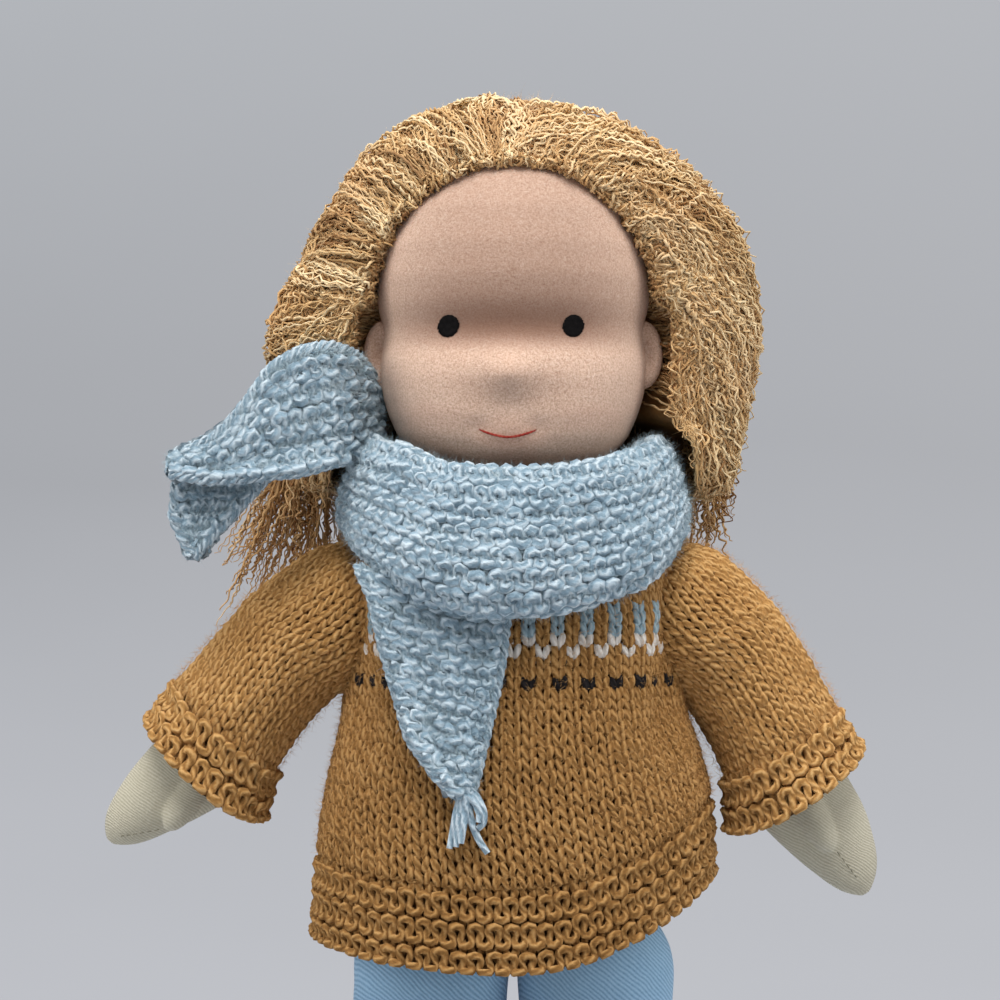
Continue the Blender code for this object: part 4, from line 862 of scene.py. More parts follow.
def sweater_front(x, z):
    """Depth of the sweater's front where cloth hangs flatter than it curves."""
    share = (z - HEM_Z) / SWEATER_LENGTH
    width = np.interp(share, SWEATER[:, 0], SWEATER[:, 1])
    front = np.interp(share, SWEATER[:, 0], SWEATER[:, 2])
    part = np.clip(np.abs(x) / (HALF_SPAN * width * 1.3), 0, 1)
    return 0.044 * front * (1 - part**2.6) ** (1 / 2.6)


FRONT_TAIL = np.array([(0.00, -0.0436, -0.0010), (0.13, -0.0392, -0.0022), (0.35, -0.0360, -0.0036),
    (0.58, -0.0318, -0.0062), (0.74, -0.0288, -0.0084), (0.91, -0.0214, -0.0106),
    (1.00, -0.0160, -0.0122)])


def front_tail_surface():
    """Tail that hangs from under the wrap, with its courses slanting and its left edge curled."""
    rows, columns = 60, 40
    share = np.linspace(0, 1, rows)[:, None]
    part = np.linspace(0, 1, columns)[None, :]
    left_share = share * (0.86 + 0.14 * share)
    right_share = share * (1.30 - 0.30 * share)
    s = left_share + (right_share - left_share) * part
    s = np.clip(s, 0, 1)
    left = np.interp(s, FRONT_TAIL[:, 0], FRONT_TAIL[:, 1])
    right = np.interp(s, FRONT_TAIL[:, 0], FRONT_TAIL[:, 2])
    x = left + (right - left) * part
    high = 0.2745 + 0.0075 * np.clip((-x - 0.015) / 0.03, 0, 1)
    z = high + (0.2185 - high) * s
    gap = 0.0022 + 0.0012 * np.sin(math.tau * 1.6 * part + 1.0) * s
    gap = gap + 0.0022 * np.exp(-((part / 0.12) ** 2)) + 0.0012 * np.exp(-(((1 - part) / 0.1) ** 2))
    y = -sweater_front(x, z) - gap
    grid = np.stack([x, y, z], axis=-1)[::-1]
    return Surface(grid, False, outside=AHEAD)


SIDE_TAIL = np.array([(0.00, 0.25, -0.025, 0.00), (0.06, 0.33, -0.025, 0.16),
    (0.13, 0.38, -0.100, 0.36), (0.23, 0.40, -0.122, 0.50), (0.36, 0.375, -0.158, 0.58),
    (0.50, 0.30, -0.170, 0.62), (0.61, 0.16, -0.185, 0.60), (0.71, 0.05, -0.192, 0.57),
    (0.80, -0.02, -0.192, 0.55), (0.91, -0.06, -0.180, 0.53), (1.00, -0.10, -0.160, 0.50)])


def side_tail_surface():
    """Upper sheet of the side tail, out from behind the cheek to its free end."""
    rows, columns = 30, 70
    out = np.linspace(0, 1, columns)[None, :]
    part = np.linspace(0, 1, rows)[:, None]
    top, low, front = [smoothed(np.interp(out[0], SIDE_TAIL[:, 0], SIDE_TAIL[:, k]), 4) for k in (1,
        2, 3)]
    x = -0.0392 - 0.0573 * out + 0 * part
    z = NOD + 0.064 * (low + (top - low) * part)
    curl = 0.0035 * np.clip((0.22 - part) / 0.22, 0, 1) ** 1.5 * np.clip(out * 3, 0, 1)
    y = -0.0505 * front + 0.0012 * np.sin(math.pi * 3 * part) * out - curl - 0.0012
    return Surface(np.stack([x, y + 0 * x, z], axis=-1), False, outside=AHEAD)


def flap_surface():
    """Darker end of the side tail that is folded down behind its lower edge."""
    rows, columns = 26, 26
    corners = np.array([(-0.0950, 0.3075), (-0.0690, 0.3075), (-0.0800, 0.2955), (-0.0905, 0.2842),
        (-0.0962, 0.2950)])
    part = np.linspace(0, 1, columns)[None, :]
    down = np.linspace(0, 1, rows)[:, None]
    left = np.array(
        [np.interp(down[:, 0], [0, 0.5, 1], [corners[0, k], corners[4, k], corners[3, k]])
        for k in (0, 1)])
    right = np.array(
        [np.interp(down[:, 0], [0, 0.5, 1], [corners[1, k], corners[2, k], corners[3, k]])
        for k in (0, 1)])
    x = left[0][:, None] + (right[0] - left[0])[:, None] * part
    z = left[1][:, None] + (right[1] - left[1])[:, None] * part
    y = -0.0265 + 0.0020 * np.sin(math.pi * part) + 0.0030 * (1 - down)
    grid = np.stack([x, y + 0 * x, z], axis=-1)[::-1]
    return Surface(grid, False, outside=AHEAD)


def edge_roll(name, paths, radius, material):
    """Plump twisted selvedge along an edge."""
    path = np.asarray(paths)
    run = distances(path)
    fine = np.linspace(0, run[-1], max(8, int(run[-1] / 0.0006)))
    base = columns_at(fine, run, path)
    along = unit(np.gradient(base, axis=0))
    side = unit(np.cross(along, np.array([0.1, -1.0, 0.2])))
    over = np.cross(side, along)
    strands = []
    for phase in (0, math.tau / 3, 2 * math.tau / 3):
        turn = fine / 0.0085 * math.tau + phase
        offset = np.cos(turn)[:, None] * side + np.sin(turn)[:, None] * over * 0.7
        strands.append(base + offset * radius * 0.72)
    points, quads, uv = tubes(np.array(strands), np.broadcast_to(over, (3, *over.shape)),
        radius * 0.72, YARN_SIDES)
    points = points + RANDOM.normal(0, 0.00012, points.shape)
    return add_mesh(name, points, quads, material, uv)


wrap = wrap_surface()
points, quads, uv, deep = garter(wrap, 10, 66, 0.00158, step=0.0013, rough=0.00017, uneven=1.8)
wrap_knit = add_mesh("scarf_wrap_knit", points, quads, SCARF_WOOL, uv, deep)
# The backing under the wrap's stitches is painted shade.
wrap_painted_shade = backing("scarf_wrap_cloth", wrap, SCARF_PAINTED_SHADE, -0.0017)
wrap_fuzz = [fuzz(f"scarf_wrap_fuzz_{number}", [wrap], 28000, 0.0030, 0.00005, SCARF_FUZZ,
    41 + 10 * number, stand=0.3, lift=0.0017) for number in range(2)]
low_edge = np.concatenate([wrap.grid[3], wrap.grid[3][:1]])
wrap_edge = edge_roll("scarf_wrap_edge", low_edge, 0.00175, SCARF_WOOL)
ride([wrap_knit, wrap_painted_shade, *wrap_fuzz, wrap_edge], "torso")
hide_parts("scarf_wrap")


def scarf_piece(name, surface, ridges, columns, edges, both=False):
    """Garter sheet with its backing and rolled edges, and its far side where that is seen."""
    # The backing is painted shade in the gaps between stitches.
    cloth = backing(f"{name}_cloth", surface, SCARF_PAINTED_SHADE, -0.0012)
    made = [cloth]
    sides = [("knit", surface)]
    if both:
        sides.append(("back", Surface(surface.grid[::-1], False, outside=np.array([0, 1.0, 0]))))
    for label, face in sides:
        points, quads, uv, deep = garter(face, ridges, columns, 0.00150, step=0.0011, rough=0.00017,
            uneven=1.8)
        if label == "back":
            points = points + np.array([0, 0.0024, 0])
        made.append(add_mesh(f"{name}_{label}", points, quads, SCARF_WOOL, uv, deep))
    for number, edge in enumerate(edges):
        made.append(edge_roll(f"{name}_edge_{number}", edge, 0.00135, SCARF_WOOL))
    return made


front_tail = front_tail_surface()
left_edge, right_edge = front_tail.grid[:, 0], front_tail.grid[:, -1]
tail_pieces = scarf_piece("scarf_front_tail", front_tail, 10, 7, [left_edge, right_edge])
tail_pieces.append(fuzz("scarf_front_tail_fuzz", [front_tail], 16000, 0.0030, 0.00005, SCARF_FUZZ,
    42, stand=0.3, lift=0.0015))
ride(tail_pieces, "torso")
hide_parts("scarf_front_tail")

side_tail = side_tail_surface()
side_pieces = scarf_piece("scarf_side_tail", side_tail, 5, 15,
    [side_tail.grid[0], side_tail.grid[-1], side_tail.grid[:, -1]], both=True)
side_pieces.append(fuzz("scarf_side_tail_fuzz", [side_tail], 17000, 0.0030, 0.00005, SCARF_FUZZ, 43,
    stand=0.3, lift=0.0015))
flap = flap_surface()
flap_pieces = scarf_piece("scarf_flap", flap, 4, 7, [flap.grid[:, 0], flap.grid[:, -1]], both=True)
flap_pieces.append(fuzz("scarf_flap_fuzz", [flap], 5500, 0.0030, 0.00005, SCARF_FUZZ, 44, stand=0.3,
    lift=0.0015))
for piece in side_pieces + flap_pieces:
    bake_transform(piece)
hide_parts("scarf_side_tail")


def tassel():
    """Loose yarn ends under the tail's tip."""
    ends = [[(-0.0140, 0.2200), (-0.0160, 0.2130), (-0.0178, 0.2035)],
        [(-0.0136, 0.2200), (-0.0150, 0.2120), (-0.0160, 0.2040)],
        [(-0.0132, 0.2205), (-0.0134, 0.2130), (-0.0146, 0.2050)],
        [(-0.0128, 0.2200), (-0.0122, 0.2120), (-0.0098, 0.2060), (-0.0072, 0.2022)],
        [(-0.0132, 0.2205), (-0.0104, 0.2180), (-0.0082, 0.2140), (-0.0082, 0.2105),
        (-0.0100, 0.2090)], [(-0.0140, 0.2195), (-0.0106, 0.2165), (-0.0094, 0.2130),
        (-0.0098, 0.2108)]]
    paths = []
    for number, end in enumerate(ends):
        end = np.array(end)
        share = np.linspace(0, 1, len(end))
        fine = np.linspace(0, 1, 26)
        x = smoothed(np.interp(fine, share, end[:, 0]), 6)
        z = smoothed(np.interp(fine, share, end[:, 1]), 6)
        y = -sweater_front(x, z) - 0.0032 - 0.0006 * (number % 3)
        paths.append(np.stack([x, y, z], -1))
    paths = np.array(paths)
    radii = 0.0013 * np.linspace(1.1, 0.75, 26)[None]
    return add_tubes("scarf_tassel_yarn", paths, AHEAD, radii, YARN_SIDES, SCARF_WOOL)


tassel_piece = tassel()
ride([tassel_piece], "torso")
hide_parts("scarf_tassel")

# ---------------------------------------------------------------- head

CHIN = NOD - 0.013
HEAD_HEIGHT = 0.104
HEAD = np.array([(0.000, 0.36, 0.30, 0.34), (0.015, 0.42, 0.38, 0.40), (0.045, 0.60, 0.70, 0.56),
    (0.080, 0.73, 0.86, 0.68), (0.125, 0.83, 0.94, 0.78), (0.185, 0.90, 0.985, 0.86),
    (0.240, 0.945, 1.00, 0.91), (0.290, 0.965, 1.01, 0.94), (0.335, 0.965, 1.00, 0.96),
    (0.385, 0.945, 0.962, 0.975), (0.430, 0.945, 0.945, 0.985), (0.490, 0.980, 0.985, 1.00),
    (0.565, 1.00, 1.00, 1.00), (0.655, 0.975, 0.98, 0.985), (0.750, 0.89, 0.91, 0.92),
    (0.835, 0.755, 0.78, 0.79), (0.915, 0.56, 0.58, 0.60), (0.970, 0.33, 0.34, 0.36),
    (1.000, 0.0, 0.0, 0.0)])


def level(share):
    """Height at a share of the head's height."""
    return CHIN + HEAD_HEIGHT * share


def head_size(share, column):
    """Smooth value of a column of the head's table."""
    fine = np.linspace(0, 1, 400)
    raw = np.interp(fine, HEAD[:, 0], HEAD[:, column])
    round_top = np.sqrt(np.clip(1 - ((fine - 0.565) / 0.435) ** 2, 0, 1))
    raw = np.where(fine > 0.9, np.minimum(raw, round_top), raw)
    value = smoothed(raw, 26)
    value = np.where(fine > 0.93, np.minimum(value, round_top), value)
    return np.interp(share, fine, value)


def bump_at(x, z, centre_x, centre_z, spread_x, spread_z):
    """Soft round rise in the front view."""
    return np.exp(-(((x - centre_x) / spread_x) ** 2) - ((z - centre_z) / spread_z) ** 2)


def head_face(points):
    """The face's relief: brow, eye line, nose band, cheeks and chin."""
    x, y, z = points[..., 0], points[..., 1], points[..., 2]
    front = np.clip(-y / 0.018, 0, 1)
    front = front * front * (3 - 2 * front)
    push = 0.0036 * bump_at(x, z, -0.0014, level(0.288), 0.0068, 0.0058)
    push = push + 0.0014 * bump_at(x, z, -0.0010, level(0.320), 0.022, 0.0060)
    push = push + 0.0010 * bump_at(x, z, 0, level(0.62), 0.036, 0.016)
    push = push - 0.0016 * bump_at(x, z, 0, level(0.415), 0.036, 0.0068)
    for side in (-1, 1):
        push = push + 0.0022 * bump_at(x, z, side * 0.0215, level(0.215), 0.0135, 0.0130)
        push = push - 0.0006 * bump_at(x, z, side * 0.0177 - 0.0007, level(0.424), 0.0075, 0.0050)
    for corner in (-0.0097, 0.0064):
        push = push - 0.0007 * bump_at(x, z, corner, level(0.142), 0.0028, 0.0026)
    push = push + 0.0006 * bump_at(x, z, -0.0013, level(0.150), 0.0055, 0.0032)
    push = push + 0.0008 * bump_at(x, z, -0.0010, level(0.085), 0.012, 0.0055)
    made = points.copy()
    made[..., 1] -= push * front
    return made


def head_grid(rows=130, columns=176, grow=0.0, low=0.015):
    """Grid of the head from its neck opening up to the crown."""
    share = low + (1 - low) * (1 - np.cos(np.linspace(0, math.pi, rows))) / 2
    share[-1] = 0.9996
    made = []
    for part in share:
        x, y = oval(0.040 * head_size(part, 1) + grow, 0.0395 * head_size(part, 2) + grow,
            0.042 * head_size(part, 3) + grow, 2.0, columns)
        made.append(np.stack([x, y, np.full(columns, level(part))], axis=-1))
    return head_face(np.array(made))


grid = head_grid()
x, z = grid[..., 0], grid[..., 2]
front = np.clip(-grid[..., 1] / 0.02, 0, 1)
tone = 0.34 * bump_at(x, z, -0.0235, level(0.14), 0.011, 0.010)
tone = tone + 0.34 * bump_at(x, z, 0.0225, level(0.14), 0.011, 0.010)
tone = tone + 0.22 * bump_at(x, z, -0.0013, level(0.10), 0.013, 0.008)
# Painted shade, by height on the face and strongest near its middle: under the nose, on the eye line and
# brow, over the forehead and on the lower face.
shade = ((0.12, 0.0), (0.20, 0.05), (0.245, 0.18), (0.262, 0.22), (0.285, 0.02), (0.30, 0.07),
    (0.352, 0.07), (0.380, 0.72), (0.41, 0.95), (0.48, 0.66), (0.58, 0.46), (0.68, 0.41),
    (0.80, 0.34), (1.0, 0.24))
shade = np.interp((z - CHIN) / HEAD_HEIGHT, *zip(*shade)) * np.exp(-((x / 0.0325) ** 4))
tone = tone - smoothed(shade, 4)
# Painted shade on the lower face at either side.
for side in (-1, 1):
    tone = tone - 0.40 * bump_at(x, z, side * 0.022, level(0.085), 0.012, 0.010)
head = add_grid("head_jersey", grid, SKIN, tone=tone * front)
ride([head], "head")
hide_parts("head_skin", "head_core")


def on_face(x, z, lift):
    """Point of the face in front of x, z."""
    flat = grid.reshape(-1, 3)
    flat = flat[flat[:, 1] < 0]
    near = np.argsort((flat[:, 0] - x) ** 2 + (flat[:, 2] - z) ** 2)[:6]
    weight = 1 / ((flat[near, 0] - x) ** 2 + (flat[near, 2] - z) ** 2 + 1e-9)
    return np.array([x, (flat[near, 1] * weight).sum() / weight.sum() - lift, z])


def embroidered_eye(name, side):
    """Round spot of upright satin stitches, raised in the middle."""
    centre_x, centre_z = side * 0.01755 - 0.00075, level(0.4215)
    radius = 0.0029
    paths, radii = [], []
    count = 17
    for number in range(count):
        offset = (number / (count - 1) * 2 - 1) * radius * 0.97
        half = math.sqrt(max(radius**2 - offset**2, 1e-9)) * 1.06
        path = []
        for step in np.linspace(-1, 1, 14):
            dome = math.sqrt(max(0.0, 1 - (offset / radius) ** 2 * 0.9)) * math.sqrt(
                max(0, 1 - step**2))
            lean = 0.05 * step * radius
            path.append(on_face(centre_x + offset + lean, centre_z + half * step,
                0.00095 * dome - 0.0001))
        paths.append(path)
        radii.append(np.full(14, 0.00027))
    paths = np.array(paths)
    return add_tubes(name, paths, AHEAD, np.array(radii), 6, THREAD_BLACK)


def mouth_thread():
    """Mouth of a twisted red thread."""
    xs = np.linspace(-0.0097, 0.0064, 60)
    paths = []
    for phase in (0, math.pi):
        path = []
        for x in xs:
            share = (x + 0.0015) / 0.0080
            z = level(0.1205) + 0.0021 * abs(share) ** 1.7
            turn = x / 0.0011 * math.tau / 2 + phase
            point = on_face(x, z, 0.00022)
            path.append(point + np.array([0, 0.00012 * math.cos(turn), 0.00014 * math.sin(turn)]))
        paths.append(path)
    paths = np.array(paths)
    thin = 0.00026 * np.clip(1.1 - np.abs(np.linspace(-1, 1, 60)) ** 8, 0.15, 1)
    return add_tubes("mouth_thread", paths, AHEAD, np.broadcast_to(thin, (2, 60)), 6, THREAD_RED)


def ear(name, side):
    """Half-round ear with a shallow hollow, darker inside as painted shade."""
    rows, columns = 40, 36
    turn = np.linspace(0, math.pi, rows)[:, None]
    round_it = np.linspace(0, math.tau, columns, endpoint=False)[None, :]
    x = 0.0056 * np.sin(turn) * np.sin(round_it)
    y = 0.0040 * np.sin(turn) * np.cos(round_it)
    z = 0.0098 * np.cos(turn) + 0 * round_it
    hollow = np.exp(-(((x - 0.0008) / 0.0026) ** 2) - (z / 0.0058) ** 2)
    y = y + np.where(y < 0, 0.0030 * hollow, 0)
    width = 0.040 * head_size(0.36, 1)
    points = np.stack([side * (x + width - 0.0006), y - 0.0040, z + level(0.355)], axis=-1)
    # Painted shade in the hollow.
    shade = -0.30 * hollow * (y < 0.001)
    return add_grid(name, points, SKIN, tone=shade)


for side_name, side in (("right", -1), ("left", 1)):
    eye = embroidered_eye(f"eye_threads_{side_name}", side)
    ride([eye], "head")
    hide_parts(f"eye_{side_name}")
    lobe = ear(f"ear_jersey_{side_name}", side)
    ride([lobe], "head")
    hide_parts(f"ear_{side_name}")
mouth = mouth_thread()
ride([mouth], "head")
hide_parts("mouth")

# ---------------------------------------------------------------- hair

HAIR_LOW = CHIN - 0.003
HAIR_MIDDLE = np.array([0.0, 0.004, CHIN + 0.047])
# Height, then how far the hair reaches to the doll's left, right, front and back
HAIR_OUTLINE = np.array([(0.3020, 0.0620, 0.0620, 0.0150, 0.0560), (0.3158, 0.0655, 0.0650, 0.0155,
    0.0560), (0.3302, 0.0682, 0.0680, 0.0172, 0.0560), (0.3451, 0.0712, 0.0708, 0.0200, 0.0560),
    (0.3560, 0.0705, 0.0690, 0.0222, 0.0560), (0.3681, 0.0690, 0.0622, 0.0245, 0.0549),
    (0.3802, 0.0645, 0.0562, 0.0272, 0.0515), (0.3911, 0.0555, 0.0490, 0.0295, 0.0448),
    (0.3975, 0.0490, 0.0450, 0.0296, 0.0403), (0.4038, 0.0395, 0.0375, 0.0275, 0.0336),
    (0.4095, 0.0300, 0.0300, 0.0236, 0.0252), (0.4141, 0.0180, 0.0180, 0.0140, 0.0151),
    (0.4172, 0.0040, 0.0040, 0.0040, 0.0040)])


def in_hair(points):
    """Which points lie inside the hair's outer form."""
    x, y, z = points[..., 0], points[..., 1], points[..., 2]
    left, right, front, back = [np.interp(z, HAIR_OUTLINE[:, 0], HAIR_OUTLINE[:, k]) for k in (1, 2,
        3, 4)]
    width, depth = np.where(x > 0, left, right), np.where(y > 0, back, front)
    filled = (np.abs(x) / width) ** 2.2 + (np.abs(y) / depth) ** 2.2 < 1
    return filled & (z < HAIR_OUTLINE[-1, 0]) & (z > HAIR_LOW)


def in_head(points):
    """Which points lie inside the head."""
    x, y, z = points[..., 0], points[..., 1], points[..., 2]
    share = (z - CHIN) / HEAD_HEIGHT
    depth = np.where(y > 0, 0.042 * head_size(share, 3), 0.0395 * head_size(share, 2))
    width = 0.040 * head_size(share, 1)
    return (x / np.maximum(width, 1e-5)) ** 2 + (y / np.maximum(depth, 1e-5)) ** 2 < 1


def reach_along(inside, ways):
    """Distance from the hair's middle to where a form ends along unit directions."""
    low = np.full(ways.shape[:-1], 0.02)
    high = np.full(ways.shape[:-1], 0.12)
    for _ in range(18):
        middle = (low + high) / 2
        held = inside(HAIR_MIDDLE + ways * middle[..., None])
        low, high = np.where(held, middle, low), np.where(held, high, middle)
    return low


def hair_way(around, back):
    """Direction from the hair's middle: around is the angle in the front view, back from the face."""
    return np.stack([np.cos(around) * np.sin(back), -np.cos(back) + 0 * around,
        np.sin(around) * np.sin(back)], axis=-1)


def fall_way(turn, rise):
    """Direction from the hair's middle: turn about the upright axis from the back, and rise."""
    return np.stack([np.sin(turn) * np.cos(rise), np.cos(turn) * np.cos(rise),
        np.sin(rise) + 0 * turn], axis=-1)


HAIRLINE = np.radians([(-90, 122), (-60, 114), (-40, 104), (-20, 95), (0, 88), (9, 80), (30, 67),
    (49, 60), (70, 55), (90, 53), (110, 55), (131, 60), (150, 67), (171, 80), (180, 88), (200, 95),
    (220, 104), (240, 114), (270, 122)])


def hairline_back(around):
    """Angle from the face at which the hair grows from the head."""
    return np.interp(np.mod(around + math.pi / 2, math.tau) - math.pi / 2, HAIRLINE[:, 0],
        HAIRLINE[:, 1])


def face_arch(around):
    """Radius in the front view of the face's opening in the hair."""
    beside = 0.0448 / np.maximum(np.abs(np.cos(around)), 0.3)
    return np.where(np.sin(around) > 0, 0.0410, np.maximum(0.0410, beside))


def front_back(around):
    """Angle from the face at which the hair's outer form comes out from behind the face's opening."""
    low, high = np.full(around.shape, math.radians(40)), np.full(around.shape, math.radians(112))
    for _ in range(14):
        middle = (low + high) / 2
        reach = reach_along(in_hair, hair_way(around, middle)) * 0.95
        short = reach * np.sin(middle) < face_arch(around) + 0.001
        low, high = np.where(short, middle, low), np.where(short, high, middle)
    return high


AROUND_TABLE = np.radians(np.arange(-90, 271, 3.0))
FRONT_TABLE = smoothed(front_back(AROUND_TABLE), 3)


def first_back(around):
    """Angle from the face at which the hair's outer form starts."""
    return np.interp(np.mod(around + math.pi / 2, math.tau) - math.pi / 2, AROUND_TABLE,
        FRONT_TABLE)


def combed(points, spare):
    """Points pushed out of the face's opening, the ears' places and the scarf's well."""
    points = points.copy()
    x, y, z = points[..., 0], points[..., 1], points[..., 2]
    ahead = np.clip((-0.001 - y) / 0.005, 0, 1)
    rise = z - HAIR_MIDDLE[2]
    radius = np.hypot(x, rise)
    lack = np.clip(0.0410 + spare - radius, 0, None) * ahead * (rise > 0)
    x = x + x / np.maximum(radius, 1e-5) * lack
    z = z + rise / np.maximum(radius, 1e-5) * lack
    side = np.where(x > 0, 1, -1)
    lack = np.clip(0.0448 + spare - np.abs(x), 0, None) * ahead * np.clip(-rise / 0.004 + 1, 0, 1)
    x = x + side * lack * (rise <= 0.004)
    near = np.hypot(x / (0.0535 + spare), y / (0.0500 + spare))
    low = np.clip((0.324 - z) / 0.006, 0, 1) * (near < 1)
    grow = 1 + (1 / np.maximum(near, 0.3) - 1) * low
    beside = np.clip((0.357 - z) / 0.004, 0, 1) * np.clip((0.002 - y) / 0.003, 0, 1) * (z > 0.328)
    x = x + side * np.clip(0.0462 + spare * 0.5 - np.abs(x), 0, None) * beside
    return np.stack([x * grow, y * grow, z], axis=-1)


def hair_base():
    """Dense mass under the strands, in darker colours that are painted shade deep in the hair."""
    rows, columns = 70, 160
    around = np.radians(np.linspace(-90, 270, columns, endpoint=False))[None, :]
    part = np.linspace(0, 1, rows)[:, None]
    root = hair_way(around, hairline_back(around))
    root = HAIR_MIDDLE + root * (reach_along(in_head, root) + 0.0002)[..., None]
    start = first_back(around) + math.radians(2)
    ways = hair_way(around, start + (math.radians(178.5) - start) * np.clip(part * 1.1 - 0.1, 0, 1))
    reach = reach_along(in_hair, ways) * (0.905 + 0.02 * wave_noise(ways, 3.0, 51))
    reach = np.maximum(reach, reach_along(in_head, ways) + 0.001)
    points = HAIR_MIDDLE + ways * reach[..., None]
    ease = np.clip(part * 11, 0, 1)[..., None] ** 0.8
    points = combed(root * (1 - ease) + points * ease, 0.0006)
    points[..., 2] = np.maximum(points[..., 2], HAIR_LOW + 0.0005)
    tone = 0.42 + 0.35 * wave_noise(ways * np.array([4, 4, 1]), 5.0, 52)
    return points, add_grid("hair_mass", points, HAIR_PAINTED_SHADE, tone=tone)


def crimped(paths, count, wave, size, curly, seed, together):
    """Paths resampled to count points, with a crimp that neighbours share, a slow wander and curled ends."""
    maker = np.random.default_rng(seed)
    total, steps = paths.shape[:2]
    where = np.linspace(0, steps - 1, count)
    low = np.minimum(where.astype(int), steps - 2)
    part = (where - low)[None, :, None]
    before = paths[:, np.maximum(low - 1, 0)]
    after = paths[:, np.minimum(low + 2, steps - 1)]
    a, b = paths[:, low], paths[:, low + 1]
    fine = 0.5 * (2 * a + (b - before) * part + (2 * before - 5 * a + 4 * b - after) * part**2
        + (3 * a - before - 3 * b + after) * part**3)
    along = unit(np.gradient(fine, axis=1))
    lot = np.arange(total) // together
    side = unit(np.cross(along, unit(maker.normal(size=(total, 1, 3)))[lot] + maker.normal(0, 0.15,
        (total, 1, 3))))
    over = np.cross(side, along)
    run = np.cumsum(np.linalg.norm(np.diff(fine, axis=1, prepend=fine[:, :1]), axis=-1), axis=1)
    pace = wave * maker.uniform(0.75, 1.35, (total, 1))[lot]
    phase = maker.uniform(0, math.tau, (4, total, 1))
    phase[:2] = phase[:2][:, lot] + maker.normal(0, 0.4, (2, total, 1))
    calm = 0.75 + 0.4 * np.sin(run / maker.uniform(0.004, 0.014, (total, 1)) + phase[2])
    strength = size * maker.uniform(0.5, 1.5, (total, 1)) * calm
    bent = 1.5 * np.sin(run / 0.0052 + phase[1]) + 0.8 * np.sin(run / 0.0021 + phase[3])
    first = np.sin(run / pace * math.tau + phase[0] + bent)
    second = np.sin(run / pace * math.tau * 0.87 + phase[1] + bent)
    slow = 0.0010 * maker.uniform(0.2, 1.4, (total, 1)) * np.sin(run / 0.0075 + phase[3])
    share = np.linspace(0, 1, count)
    curl = np.where(maker.random((total, 1)) < curly, maker.uniform(0.0010, 0.0022, (total, 1)),
        0.0002)
    curl = curl * np.clip((share - 0.45) / 0.5, 0, 1) ** 1.3
    spin = run / maker.uniform(0.0009, 0.0015, (total, 1)) + phase[0]
    fine = fine + side * (first * strength + slow + curl * np.cos(spin))[..., None]
    return fine + over * (second * strength * 0.8 + curl * np.sin(spin))[..., None], over


def strand_piece(name, paths, count, thick, seed, tones, wave, size, curly, together):
    """Crimped strands as one piece."""
    fine, over = crimped(paths, count, wave, size, curly, seed, together)
    share = np.linspace(0, 1, count)
    maker = np.random.default_rng(seed + 1)
    radii = thick * (1 - 0.6 * np.clip((share - 0.7) / 0.3, 0, 1) ** 2)
    radii = radii * maker.uniform(0.55, 1.3, (len(paths), 1))
    points, quads, uv = tubes(fine, over, radii, 3)
    tone = np.broadcast_to(tones[:, None, None], points.shape[:3])
    return add_mesh(name, points, quads, HAIR, uv, tone)


def add_strands(name, paths, tones, thick, seed, body="head", count=104, wave=0.0033, size=0.00068,
    curly=0.14, together=7):
    """Pieces of at most 294 strands that ride a body."""
    made = []
    for number, start in enumerate(range(0, len(paths), 294)):
        piece = strand_piece(f"{name}_{number}", paths[start : start + 294], count, thick,
            seed + number * 7, tones[start : start + 294], wave, size, curly, together)
        if body:
            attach(piece, body)
        made.append(piece)
    return made


def grown(ways, root_ways, layer, maker, rim=1.0):
    """Path from the scalp, over the rim of the mass below, out to a layer of the hair and along it."""
    outer = reach_along(in_hair, ways) * layer
    reach = np.maximum(outer, reach_along(in_head, ways) + 0.0012)
    points = HAIR_MIDDLE + ways * reach[..., None]
    root = HAIR_MIDDLE + root_ways * (reach_along(in_head, root_ways) - 0.0006)[..., None]
    step = points[:, 0] - root
    ahead = AHEAD * maker.uniform(0.0006, 0.0026, (len(points), 1)) * rim
    rise = [root, root + step * 0.3 + ahead, root + step * 0.75 + ahead * 1.2]
    points = np.concatenate([np.stack(rise, axis=1), points], axis=1)
    spare = np.abs(maker.normal(0, 0.0009, (len(points), 1)))
    return combed(points, spare)


